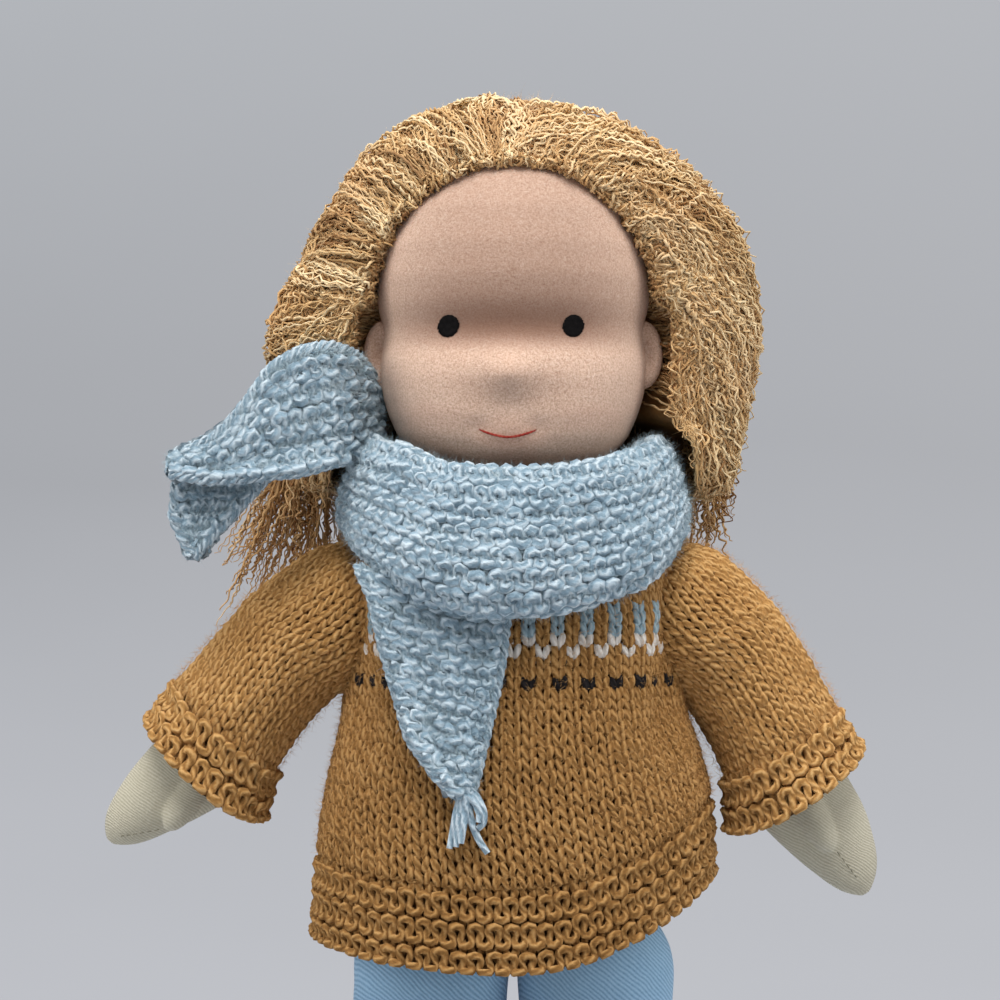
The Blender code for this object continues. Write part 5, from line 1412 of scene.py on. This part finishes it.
def locks(seed, count, per_lock, side, start, drop, further, layer, late, loose=0.035):
    """Locks that grow straight out from the hairline and sink as they go back.

    start holds the first and last angle in the front view, drop and further how far each sinks
    and goes back. side is 1 for the doll's left.
    """
    maker = np.random.default_rng(seed)
    share = np.linspace(0, 1, 16)
    lot = np.repeat(np.arange(count), per_lock)
    total = len(lot)

    def each(low, high):
        return (low + (high - low) * maker.random(count))[lot][:, None]

    first = np.radians(np.linspace(*start, count))[lot][:, None] + maker.normal(0, 0.030,
        (total, 1))
    sink = np.radians(each(*drop)) + maker.normal(0, loose, (total, 1))
    power = each(*late) + maker.normal(0, 0.03, (total, 1))
    around = first - sink * share**power + each(-0.20, 0.20) * np.sin(math.pi * share)
    around = around + maker.normal(0, 0.018, (total, 1)) * np.sin(math.tau * share)
    around = around if side > 0 else math.pi - around
    depth = np.radians(each(*further)) + maker.normal(0, loose, (total, 1))
    back = first_back(around) + np.maximum(depth, 0.0) * share**0.85
    back = back + np.abs(maker.normal(0, 0.02, (total, 1)))
    layers = each(*layer) + maker.normal(0, 0.014, (total, 1)) + 0.024 * np.sin(share * 8 + each(0,
        6))
    begin = around[:, 0]
    root = hair_way(begin, hairline_back(begin) + np.abs(maker.normal(0.01, 0.05, total)))
    paths = grown(hair_way(around, back), root, np.clip(layers, 0.86, 1.006), maker)
    # Painted shade: strands in lower layers get a lower tone and so a darker colour.
    deep = 5.0 * (layers.mean(1) - 0.954)
    tones = np.clip(maker.normal(0.5, 0.16, count)[lot] + maker.normal(0, 0.13, total) + deep, 0, 1)
    return paths, tones


def back_locks(seed, count, per_lock, turn, start, end, layer):
    """Locks that fall over the back and sides from the crown."""
    maker = np.random.default_rng(seed)
    share = np.linspace(0, 1, 16)
    lot = np.repeat(np.arange(count), per_lock)
    total = len(lot)
    at = np.radians(np.linspace(*turn, count))[lot][:, None]
    sway = maker.normal(0, 0.12, count)[lot][:, None]
    turns = at * (0.72 + 0.28 * share) + sway * share + maker.normal(0, 0.05, (total, 1))
    rise = np.radians(maker.uniform(*start, count)[lot][:, None]) + maker.normal(0, 0.08,
        (total, 1))
    fall = np.radians(maker.uniform(*end, count)[lot][:, None]) + maker.normal(0, 0.05, (total, 1))
    rises = rise + (fall - rise) * share
    layers = maker.uniform(*layer, count)[lot][:, None] + maker.normal(0, 0.014, (total, 1))
    ways = fall_way(turns, rises)
    paths = grown(ways, ways[:, 0], np.clip(layers, 0.86, 1.0) + 0 * share, maker, 0.0)
    tones = np.clip(maker.normal(0.48, 0.12, count)[lot] + maker.normal(0, 0.15, total), 0, 1)
    return paths, tones


base_points, base = hair_base()
ride([base], "head")
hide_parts("hair_crown", "hair_right", "hair_back", "hair_left", "wig_cap")
halo = fuzz("hair_fuzz", [Surface(HAIR_MIDDLE + (base_points[5:] - HAIR_MIDDLE) * 1.045, True)],
    30000, 0.0044, 0.00006, HAIR_FUZZ, 57)
ride([halo], "head")

GROWTH = {"right": (("edge", 28, 14, (-20, 97), (6, 34), (34, 80), (0.915, 0.965), (1.2, 2.0)),
    ("over", 26, 14, (-12, 93), (12, 48), (50, 105), (0.935, 0.978), (1.2, 2.0)),
    ("temple", 15, 14, (-24, 18), (28, 60), (0, 30), (0.900, 0.965), (0.8, 1.3)),
    ("stray", 15, 6, (-6, 94), (8, 50), (30, 80), (0.970, 1.004), (1.2, 2.0))),
    "left": (("edge", 28, 14, (-16, 97), (26, 74), (16, 50), (0.915, 0.960), (1.3, 2.0)),
    ("over", 14, 14, (34, 98), (16, 50), (50, 95), (0.930, 0.970), (1.2, 2.0)),
    ("sweep", 32, 13, (8, 93), (58, 116), (6, 36), (0.935, 0.982), (1.1, 1.8)),
    ("temple", 18, 14, (-26, 24), (32, 66), (0, 30), (0.890, 0.965), (0.8, 1.3)),
    ("stray", 24, 6, (-10, 94), (40, 104), (8, 40), (0.965, 1.004), (1.1, 1.8)))}
CURLS = {("stray", "left"): 0.75, ("stray", "right"): 0.4}
for side_name, side in (("right", -1), ("left", 1)):
    for number, (label, count, per_lock, *growth) in enumerate(GROWTH[side_name]):
        paths, tones = locks(600 + number * 10 + side, count, per_lock, side, *growth)
        add_strands(f"hair_{label}_{side_name}", paths, tones, 0.00039, 700 + number * 20 + side,
            curly=CURLS.get((label, side_name), 0.34 if side > 0 else 0.16))
paths, tones = back_locks(650, 44, 13, (-118, 118), (52, 82), (-42, -34), (0.94, 0.985))
add_strands("hair_behind", paths, tones, 0.00044, 760)


def hanging_paths(seed, count, starts, ends):
    """Loose strands from inside the hair down past the shoulders, between two boxes."""
    maker = np.random.default_rng(seed)
    share = np.linspace(0, 1, 14)[None, :, None]
    begin = maker.uniform(*np.array(starts), (count, 3))[:, None]
    finish = maker.uniform(*np.array(ends), (count, 3))[:, None]
    middle = begin * 0.55 + finish * 0.45
    middle = middle + (begin - middle) * np.array([0.55, 0.4, 0.0]) + maker.normal(0, 0.002,
        (count, 1, 3))
    wander = np.cumsum(maker.normal(0, 0.0006, (count, 14, 3)), axis=1)
    paths = begin * (1 - share) ** 2 + middle * 2 * share * (1 - share) + finish * share**2
    return combed(paths + wander * share, 0.0004), np.clip(maker.normal(0.46, 0.16, count), 0, 1)


LOOSE = (("right", 150, ((-0.066, 0.000, 0.334), (-0.046, 0.034, 0.352)),
    ((-0.088, 0.026, 0.266), (-0.050, 0.044, 0.302)), 0.05),
    ("right_short", 60, ((-0.064, -0.004, 0.334), (-0.048, 0.020, 0.350)),
    ((-0.068, 0.010, 0.293), (-0.050, 0.034, 0.312)), 0.2),
    ("left", 90, ((0.048, 0.004, 0.326), (0.066, 0.034, 0.346)),
    ((0.046, 0.026, 0.282), (0.066, 0.044, 0.304)), 0.15),
    ("left_short", 110, ((0.047, -0.010, 0.330), (0.064, 0.022, 0.352)),
    ((0.047, -0.006, 0.304), (0.064, 0.026, 0.318)), 0.5))
for number, (label, count, starts, ends, curly) in enumerate(LOOSE):
    paths, tones = hanging_paths(80 + number, count, starts, ends)
    pieces = add_strands(f"hair_loose_{label}", paths, tones, 0.00040, 840 + number * 9, body=None,
        count=90, curly=curly)
    for piece in pieces:
        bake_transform(piece)


def fall_paths(seed, count):
    """Strands that hang behind the neck and shoulders from inside the hair."""
    maker = np.random.default_rng(seed)
    angle = np.radians(maker.uniform(-60, 60, count))[:, None]
    drop = np.linspace(0, 1, 14)[None, :]
    length = 0.048 + maker.normal(0, 0.006, (count, 1)) - 0.006 * np.abs(angle)
    wander = np.cumsum(maker.normal(0, 0.0007, (count, 14, 2)), axis=1)
    spread = 1 + 0.05 * drop * maker.normal(1, 0.6, (count, 1))
    layer = maker.uniform(-0.0006, 0.0030, (count, 1))
    x = (0.0530 + layer) * np.sin(angle) * spread + wander[..., 0]
    y = (0.0475 + layer) * np.cos(angle) + wander[..., 1] * 0.5
    z = HAIR_LOW + 0.024 - (length + 0.024) * drop
    return np.stack([x + 0 * z, y + 0 * z, z + 0 * x], axis=-1), np.clip(maker.normal(0.42, 0.16,
        count), 0, 1)


paths, tones = fall_paths(91, 520)
fall = add_strands("hair_fall_strands", paths, tones, 0.00045, 92, body=None, count=90)
for piece in fall:
    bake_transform(piece)
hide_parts("hair_fall")

# ---------------------------------------------------------------- hands and arms


def remeshed(name, parts, voxel, material, smooth_passes=6):
    """One skin over several closed forms, smoothed."""
    mesh = bpy.data.meshes.new(name)
    joined = bmesh.new()
    for points, quads in parts:
        verts = [joined.verts.new(point) for point in points.reshape(-1, 3)]
        for quad in quads:
            corners = list(dict.fromkeys(verts[index] for index in quad))
            if len(corners) > 2:
                joined.faces.new(corners)
    bmesh.ops.holes_fill(joined, edges=joined.edges, sides=0)
    bmesh.ops.recalc_face_normals(joined, faces=joined.faces)
    joined.to_mesh(mesh)
    joined.free()
    made = bpy.data.objects.new(name, mesh)
    bpy.context.scene.collection.objects.link(made)
    remesh = made.modifiers.new("remesh", "REMESH")
    remesh.mode = "VOXEL"
    remesh.voxel_size = voxel
    relax = made.modifiers.new("relax", "SMOOTH")
    relax.factor = 0.6
    relax.iterations = smooth_passes
    graph = bpy.context.evaluated_depsgraph_get()
    final = bpy.data.meshes.new_from_object(made.evaluated_get(graph))
    made.modifiers.clear()
    made.data = final
    final.shade_smooth()
    final.materials.clear()
    final.materials.append(material)
    final.transform(Matrix.Translation(HOME))
    return made


ARM = (
    # drop, reach, half width, half depth
    (-0.0130, 0.0000, 0.0060, 0.0060), (-0.0075, 0.0, 0.0125, 0.0125), (0.0, 0.0, 0.0148, 0.0148),
    (0.0122, 0.0031, 0.0142, 0.0142), (0.0282, 0.0050, 0.0132, 0.0130), (0.0442, 0.0035, 0.0128, 0.0112),
)
HANDS = {"left": ((0.0564, 0.0010, 0.0142, 0.0098), (0.0640, 0.0006, 0.0143, 0.0094),
    (0.0730, 0.0014, 0.0130, 0.0086), (0.0785, 0.0016, 0.0117, 0.0080),
    (0.0870, 0.0016, 0.0088, 0.0068), (0.0914, 0.0014, 0.0066, 0.0054),
    (0.0945, 0.0011, 0.0040, 0.0034), (0.0962, 0.0008, 0.0014, 0.0014)),
    "right": ((0.0564, 0.0018, 0.0138, 0.0098), (0.0640, 0.0026, 0.0134, 0.0094),
    (0.0730, 0.0040, 0.0117, 0.0086), (0.0785, 0.0048, 0.0102, 0.0080),
    (0.0850, 0.0055, 0.0082, 0.0068), (0.0892, 0.0059, 0.0062, 0.0054),
    (0.0922, 0.0061, 0.0038, 0.0034), (0.0938, 0.0061, 0.0014, 0.0014))}


def arm_form(side_name):
    """Rings of the stuffed arm and mitten."""
    table = np.array(ARM + HANDS[side_name])
    drops = np.linspace(table[0, 0], table[-1, 0], 70)
    table = smoothed(read(table, drops), 2)
    turn = np.arange(36) * math.tau / 36
    rings = []
    for drop, (reach, wide, deep) in zip(drops, table):
        rings.append(np.stack([reach + wide * np.sin(turn), deep * np.cos(turn),
            np.full(36, -drop)], -1))
    return np.array(rings)


def thumb_form(side_name):
    """Rings of the thumb, which lies on the front of the mitten and points down."""
    shift = 0.0 if side_name == "left" else -0.0026
    start = np.array([0.0012 + shift, -0.0076, -0.0560])
    way = unit(np.array([-0.10, -0.06, -1.0]))
    side = unit(np.cross(way, np.array([0, 1.0, 0])))
    over = np.cross(side, way)
    turn = np.arange(20) * math.tau / 20
    rings = []
    sizes = ((0, 0.6), (0.15, 0.95), (0.4, 1.05), (0.65, 1.0), (0.82, 0.84), (0.93, 0.58),
        (1.0, 0.15))
    for share, size in sizes:
        ring = side * np.cos(turn)[:, None] + over * np.sin(turn)[:, None]
        rings.append(start + way * 0.0235 * share + ring * 0.0043 * size)
    return np.array(rings)


def running_stitches(name, path, length, gap, radius, material):
    """Short stitches along a path, sunk at both ends."""
    path = np.asarray(path)
    run = distances(path)
    starts = np.arange(0, run[-1] - length, length + gap)
    share = np.linspace(0, 1, 6)
    paths = []
    for start in starts:
        where = start + share * length
        stitch = columns_at(where, run, path)
        stitch[:, 1] += 0.0003 * (2 * share - 1) ** 2 - 0.00015
        paths.append(stitch)
    paths = np.array(paths)
    return add_tubes(name, paths, AHEAD, radius, 5, material)


for side_name in ("right", "left"):
    arm = arm_form(side_name)
    thumb = thumb_form(side_name)
    parts = []
    for form in (arm, thumb):
        parts.append((arm_to_doll(form, side_name), grid_quads(*form.shape[:2], True)))
    skin = remeshed(f"arm_jersey_{side_name}", parts, 0.0006, HAND)
    body = f"{side_name}_arm"
    ride([skin], body)
    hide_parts(f"arm_skin_{side_name}", f"thumb_{side_name}", f"arm_core_{side_name}")
    shift, tip = (0.0, 0.0009) if side_name == "left" else (-0.0024, 0.0058)
    seam = []
    for share in np.linspace(0, 1, 9):
        drop = 0.0806 + (0.0940 - 0.0806) * share - (0 if side_name == "left" else 0.0022 * share)
        seam.append((0.0002 + shift + (tip - shift) * share, -0.0080 + 0.0052 * share**2.2, -drop))
    seam = arm_to_doll(np.array(seam), side_name)
    stitches = running_stitches(f"hand_seam_{side_name}", seam, 0.0013, 0.0009, 0.00013,
        THREAD_DARK)
    ride([stitches], body)

# ---------------------------------------------------------------- trousers, legs and feet

TROUSER = np.array([(-0.0200, 0.20, 0.20), (-0.0185, 0.45, 0.40), (-0.0129, 0.80, 0.766),
    (-0.0062, 0.96, 0.951), (0.000, 1.00, 1.00), (0.0186, 0.985, 0.99), (0.0359, 0.93, 0.93),
    (0.0479, 0.96, 0.98), (0.0665, 0.88, 0.90), (0.0798, 0.92, 0.95), (0.0984, 0.86, 0.88),
    (0.1104, 0.91, 0.95), (0.1224, 0.90, 0.93), (0.1330, 0.96, 0.99)])


def trouser_leg(side_name, side):
    """Trouser leg with soft folds, domed at the hip."""
    drops = np.linspace(-0.0200, 0.1330, 110)
    wide = smoothed(np.interp(drops, TROUSER[:, 0], TROUSER[:, 1]), 3) * 0.0225
    deep = smoothed(np.interp(drops, TROUSER[:, 0], TROUSER[:, 2]), 3) * 0.020
    rows = []
    for drop, half_width, half_depth in zip(drops, wide, deep):
        rows.append(level_ring(-drop, half_width, half_depth, half_depth, 2.2, 96))
    grid = np.array(rows)
    folds = wave_noise(grid * np.array([0.5, 0.5, 1.6]), 16.0, 14 + side) * 0.0010
    grid[..., :2] *= (1 + folds / 0.02)[..., None]
    grid = grid + np.array([side * THIGH_X, 0, HIP_Z])
    return Surface(even_rows(grid[::-1], 120)[0], True)


FOOT = ((25, -0.02, 1.15, 0.90, 0.57), (48, -0.01, 0.70, 0.97, 0.80), (68, 0.13, 0.57, 1.00, 0.64),
    (85, 0.36, 0.49, 1.03, 0.515), (90, 0.62, 0.44, 1.06, 0.465), (90, 0.84, 0.41, 0.93, 0.42),
    (90, 0.96, 0.38, 0.56, 0.27), (90, 0.995, 0.37, 0.15, 0.08))


def leg_form(side):
    """Stuffed leg and foot with a flat sole."""
    rows = []
    for drop, radius in ((-0.012, 0.006), (0, 0.0165), (0.045, 0.0155), (0.09, 0.0132),
        (0.119, 0.0118), (0.1291, 0.0105)):
        rows.append(level_ring(-drop, radius, radius, radius, 2.0, 48))
    for degrees, forward, rise, width, height in FOOT:
        tilt = math.radians(degrees)
        x, along = oval(0.0118 * width, 0.0205 * height + 0.0005, 0.0205 * height + 0.0005, 2.4, 48)
        y = -0.042 * forward + along * math.cos(tilt)
        z = 0.0205 * rise - HIP_Z - along * math.sin(tilt)
        rows.append(np.stack([x, y, z], -1))
    rows = np.array(rows)
    share = np.linspace(0, len(rows) - 1, 90)
    flat = rows.reshape(len(rows), -1)
    fine = columns_at(share, np.arange(len(rows)), flat)
    fine = smoothed(fine, 5).reshape(90, 48, 3) + np.array([side * THIGH_X, 0, HIP_Z])
    fine[..., 2] = np.maximum(fine[..., 2], 0.0)
    ends = [np.broadcast_to(row.mean(0), (1, 48, 3)) for row in (fine[0], fine[-1])]
    return np.concatenate([ends[0], fine, ends[1]])


for side_name, side in (("right", -1), ("left", 1)):
    body = f"{side_name}_leg"
    surface = trouser_leg(side_name, side)
    leg_cloth = add_grid(f"trouser_cloth_{side_name}", surface.grid, TWILL)
    bottom = surface.grid[:6].mean(0)
    rows = []
    for drop, grow in ((0.1310, 0.0), (0.1312, 0.0011), (0.1325, 0.0016), (0.1380, 0.0017),
        (0.1430, 0.0015), (0.1440, 0.0008), (0.1438, 0.0), (0.1380, -0.0004)):
        loop = bottom.copy()
        centre = np.array([side * THIGH_X, 0, 0])
        loop = loop + unit((loop - centre) * LEVEL) * grow
        loop[:, 2] = HIP_Z - drop
        rows.append(loop)
    turn_up = add_grid(f"turn_up_cloth_{side_name}", np.array(rows), TWILL)
    ride([leg_cloth, turn_up], body)
    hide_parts(f"trouser_leg_{side_name}")
    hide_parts(f"turn_up_{side_name}")
    form = leg_form(side)
    foot = add_grid(f"leg_jersey_{side_name}", form, HAND)
    ride([foot], body)
    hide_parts(f"leg_skin_{side_name}", f"leg_core_{side_name}")

SEAT = ((0.1853, 1.0, 1.0), (0.192, 1.03, 1.04), (0.200, 1.06, 1.08), (0.208, 1.03, 1.05),
    (0.2150, 0.99, 1.012))
rows = []
for height, width, depth in SEAT:
    rows.append(level_ring(height, 0.039 * width, 0.027 * depth, 0.027 * depth, 2.3, 96))
seat = add_grid("trouser_seat_cloth", np.array(rows), TWILL)
ride([seat], "torso")
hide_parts("trouser_seat")

# ---------------------------------------------------------------- stuffed forms and ties under the clothes


def lofted(name, stations, material, body, centre=(0, 0, 0), power=2.2, closed_end=True):
    """Round form through ovals at (height, half width, half depth)."""
    rows = []
    for height, width, depth in stations:
        rows.append(level_ring(height, width, depth, depth, power, 72))
    if closed_end:
        rows = [rows[0] * (1e-3, 1e-3, 1)] + rows + [rows[-1] * (1e-3, 1e-3, 1)]
    grid = np.array(rows) + np.array(centre)
    made = add_grid(name, grid, material)
    ride([made], body)
    return made


TORSO = ((0.1853, 0.84), (0.190, 0.95), (0.205, 1.0), (0.235, 0.99), (0.262, 0.95), (0.276, 0.86),
    (0.286, 0.66), (0.292, 0.42), (0.296, 0.29))
torso = lofted("torso_jersey", [(z, 0.036 * size, 0.0245 * size) for z, size in TORSO], SKIN,
    "torso", power=2.3)
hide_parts("torso_skin", "torso_core")
NECK = [(0.2963, 0.010), (0.302, 0.0100), (0.3075, 0.0102)]
NECK += [(z, math.sqrt(max(0.013**2 - (z - NOD) ** 2, 1e-8))) for z in np.linspace(0.310, 0.3308,
    12)]
neck = lofted("neck_jersey", [(z, r, r) for z, r in NECK], SKIN, "neck", power=2.0)
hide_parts("neck")
turns = np.linspace(0, 3 * math.tau, 150)
tie = np.stack([0.0111 * np.cos(turns), 0.0111 * np.sin(turns),
    0.2967 + 0.0012 * turns / turns[-1]], -1)
points, quads, uv = tubes(tie[None], tie[None] * (1, 1, 0), 0.0004, 6)
tie_thread = add_mesh("neck_tie_thread", points, quads, THREAD_DARK, uv)
ride([tie_thread], "torso")
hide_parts("neck_tie")
for side_name, side in (("right", -1), ("left", 1)):
    turn = np.linspace(-1.5, 1.5, 14)
    pad = lofted(f"shoulder_pad_{side_name}",
        [(0.006 * math.sin(t), 0.005 * math.cos(t), 0.006 * math.cos(t)) for t in turn], SKIN,
        f"{side_name}_shoulder", (side * 0.0288, 0, SHOULDER_Z), 2.0)
    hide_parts(f"shoulder_tab_{side_name}")
BELT = ((0.2155, 0.0378, 0.0265), (0.2153, 0.0384, 0.0270), (0.2165, 0.0387, 0.0273),
    (0.2200, 0.0385, 0.0272), (0.2232, 0.0387, 0.0273), (0.2242, 0.0384, 0.0270),
    (0.2238, 0.0378, 0.0265))
belt = lofted("waistband_cloth", BELT, TWILL, "torso", power=2.3, closed_end=False)
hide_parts("waistband")

# ---------------------------------------------------------------- floor, light and camera


def paper_material():
    """Matt grey paper behind the doll that glows to the camera, its grey painted as light: darker in a band
    at middle height and lighter towards the doll's left.
    """
    finish = {"Base Color": linear(190, 192, 197), "Roughness": 0.95, "Specular IOR Level": 0.05}
    material, node, _, place = new_material("paper", finish)
    parts = node("ShaderNodeSeparateXYZ", {0: place})
    # Painted light: the grey is graded by height, darker in a middle band, and lighter towards the doll's
    # left.
    cloudy = mathed(node, "MULTIPLY_ADD", noise(node, place, 3.0, 2.0), 0.1, -0.05)
    shade = mathed(node, "ADD", mathed(node, "MULTIPLY", parts.outputs[2], 0.9), cloudy)
    colours = ((195, 197, 203), (174, 176, 181), (189, 192, 197))
    shade = ramp(node, shade, (0.0, 0.30, 0.8), colours)
    side = mathed(node, "MULTIPLY_ADD", parts.outputs[0], 1.0, 0.5, clamp=True)
    tone = mix(node, mathed(node, "MULTIPLY", side, 0.38), shade, linear(198, 199, 203))
    # Painted light: camera rays see the paper glow with this painted tone, mostly instead of the lamps'
    # light.
    even = node("ShaderNodeEmission", {"Color": tone, "Strength": 1.0}).outputs[0]
    rays = node("ShaderNodeLightPath").outputs["Is Camera Ray"]
    nodes = material.node_tree.nodes
    plain = nodes["Principled BSDF"].outputs[0]
    shown = node("ShaderNodeMixShader", {0: mathed(node, "MULTIPLY", rays, 0.82), 1: plain,
        2: even})
    material.node_tree.links.new(shown.outputs[0], nodes["Material Output"].inputs["Surface"])
    return material


def backdrop():
    """Paper that runs from the floor up behind the doll."""
    profile = [(-2.4, 0.0), (0.8, 0.0)]
    for step in range(1, 19):
        angle = math.radians(90 * step / 18)
        profile.append((0.8 + 3.0 * math.sin(angle), 3.0 - 3.0 * math.cos(angle)))
    xs = (-3.0, 3.0)
    grid = np.array([[(x, y, z) for x in xs] for y, z in profile]) - HOME
    add_grid("paper", grid, paper_material(), closed=False)


def soft_light(name, place, target, size, power, colour=(1, 1, 1)):
    """Large soft lamp."""
    data = bpy.data.lights.new(name, "AREA")
    data.shape = "DISK"
    data.size = size
    data.energy = power
    data.color = colour
    lamp = bpy.data.objects.new(name, data)
    lamp.location = place
    lamp.rotation_euler = (Vector(target) - Vector(place)).to_track_quat("-Z", "Y").to_euler()
    bpy.context.scene.collection.objects.link(lamp)


backdrop()
middle = (HOME[0], HOME[1], 0.28)
soft_light("key", (-0.04, -0.60, 1.40), middle, 0.9, 18)
soft_light("right", (-1.35, -0.45, 0.85), middle, 0.9, 8)
soft_light("left", (1.35, -0.45, 0.85), middle, 0.9, 8.5)
soft_light("back", (0.1, 0.7, 1.5), middle, 0.8, 6)

scene = bpy.context.scene
world = bpy.data.worlds.new("studio")
world.use_nodes = True
tree = world.node_tree
tree.nodes["Background"].inputs["Color"].default_value = (0.90, 0.92, 0.96, 1)
tree.nodes["Background"].inputs["Strength"].default_value = 0.26
room = tree.nodes.new("ShaderNodeBackground")
room.inputs["Color"].default_value = linear(178, 180, 185)
path = tree.nodes.new("ShaderNodeLightPath")
either = tree.nodes.new("ShaderNodeMixShader")
tree.links.new(path.outputs["Is Camera Ray"], either.inputs[0])
tree.links.new(tree.nodes["Background"].outputs[0], either.inputs[1])
tree.links.new(room.outputs[0], either.inputs[2])
tree.links.new(either.outputs[0], tree.nodes["World Output"].inputs["Surface"])
scene.world = world
scene.view_settings.view_transform = "Standard"
camera_data = bpy.data.cameras.new("camera")
SENSOR, FRAME_WIDTH = 36, 0.29
camera_data.sensor_width = SENSOR
camera_data.lens = SENSOR * 1.0 / FRAME_WIDTH
camera = bpy.data.objects.new("camera", camera_data)
camera.location = (HOME[0] - 0.0038, HOME[1] - 1.0, 0.300)
camera.rotation_euler = (math.radians(90), 0, 0)
scene.collection.objects.link(camera)
scene.camera = camera
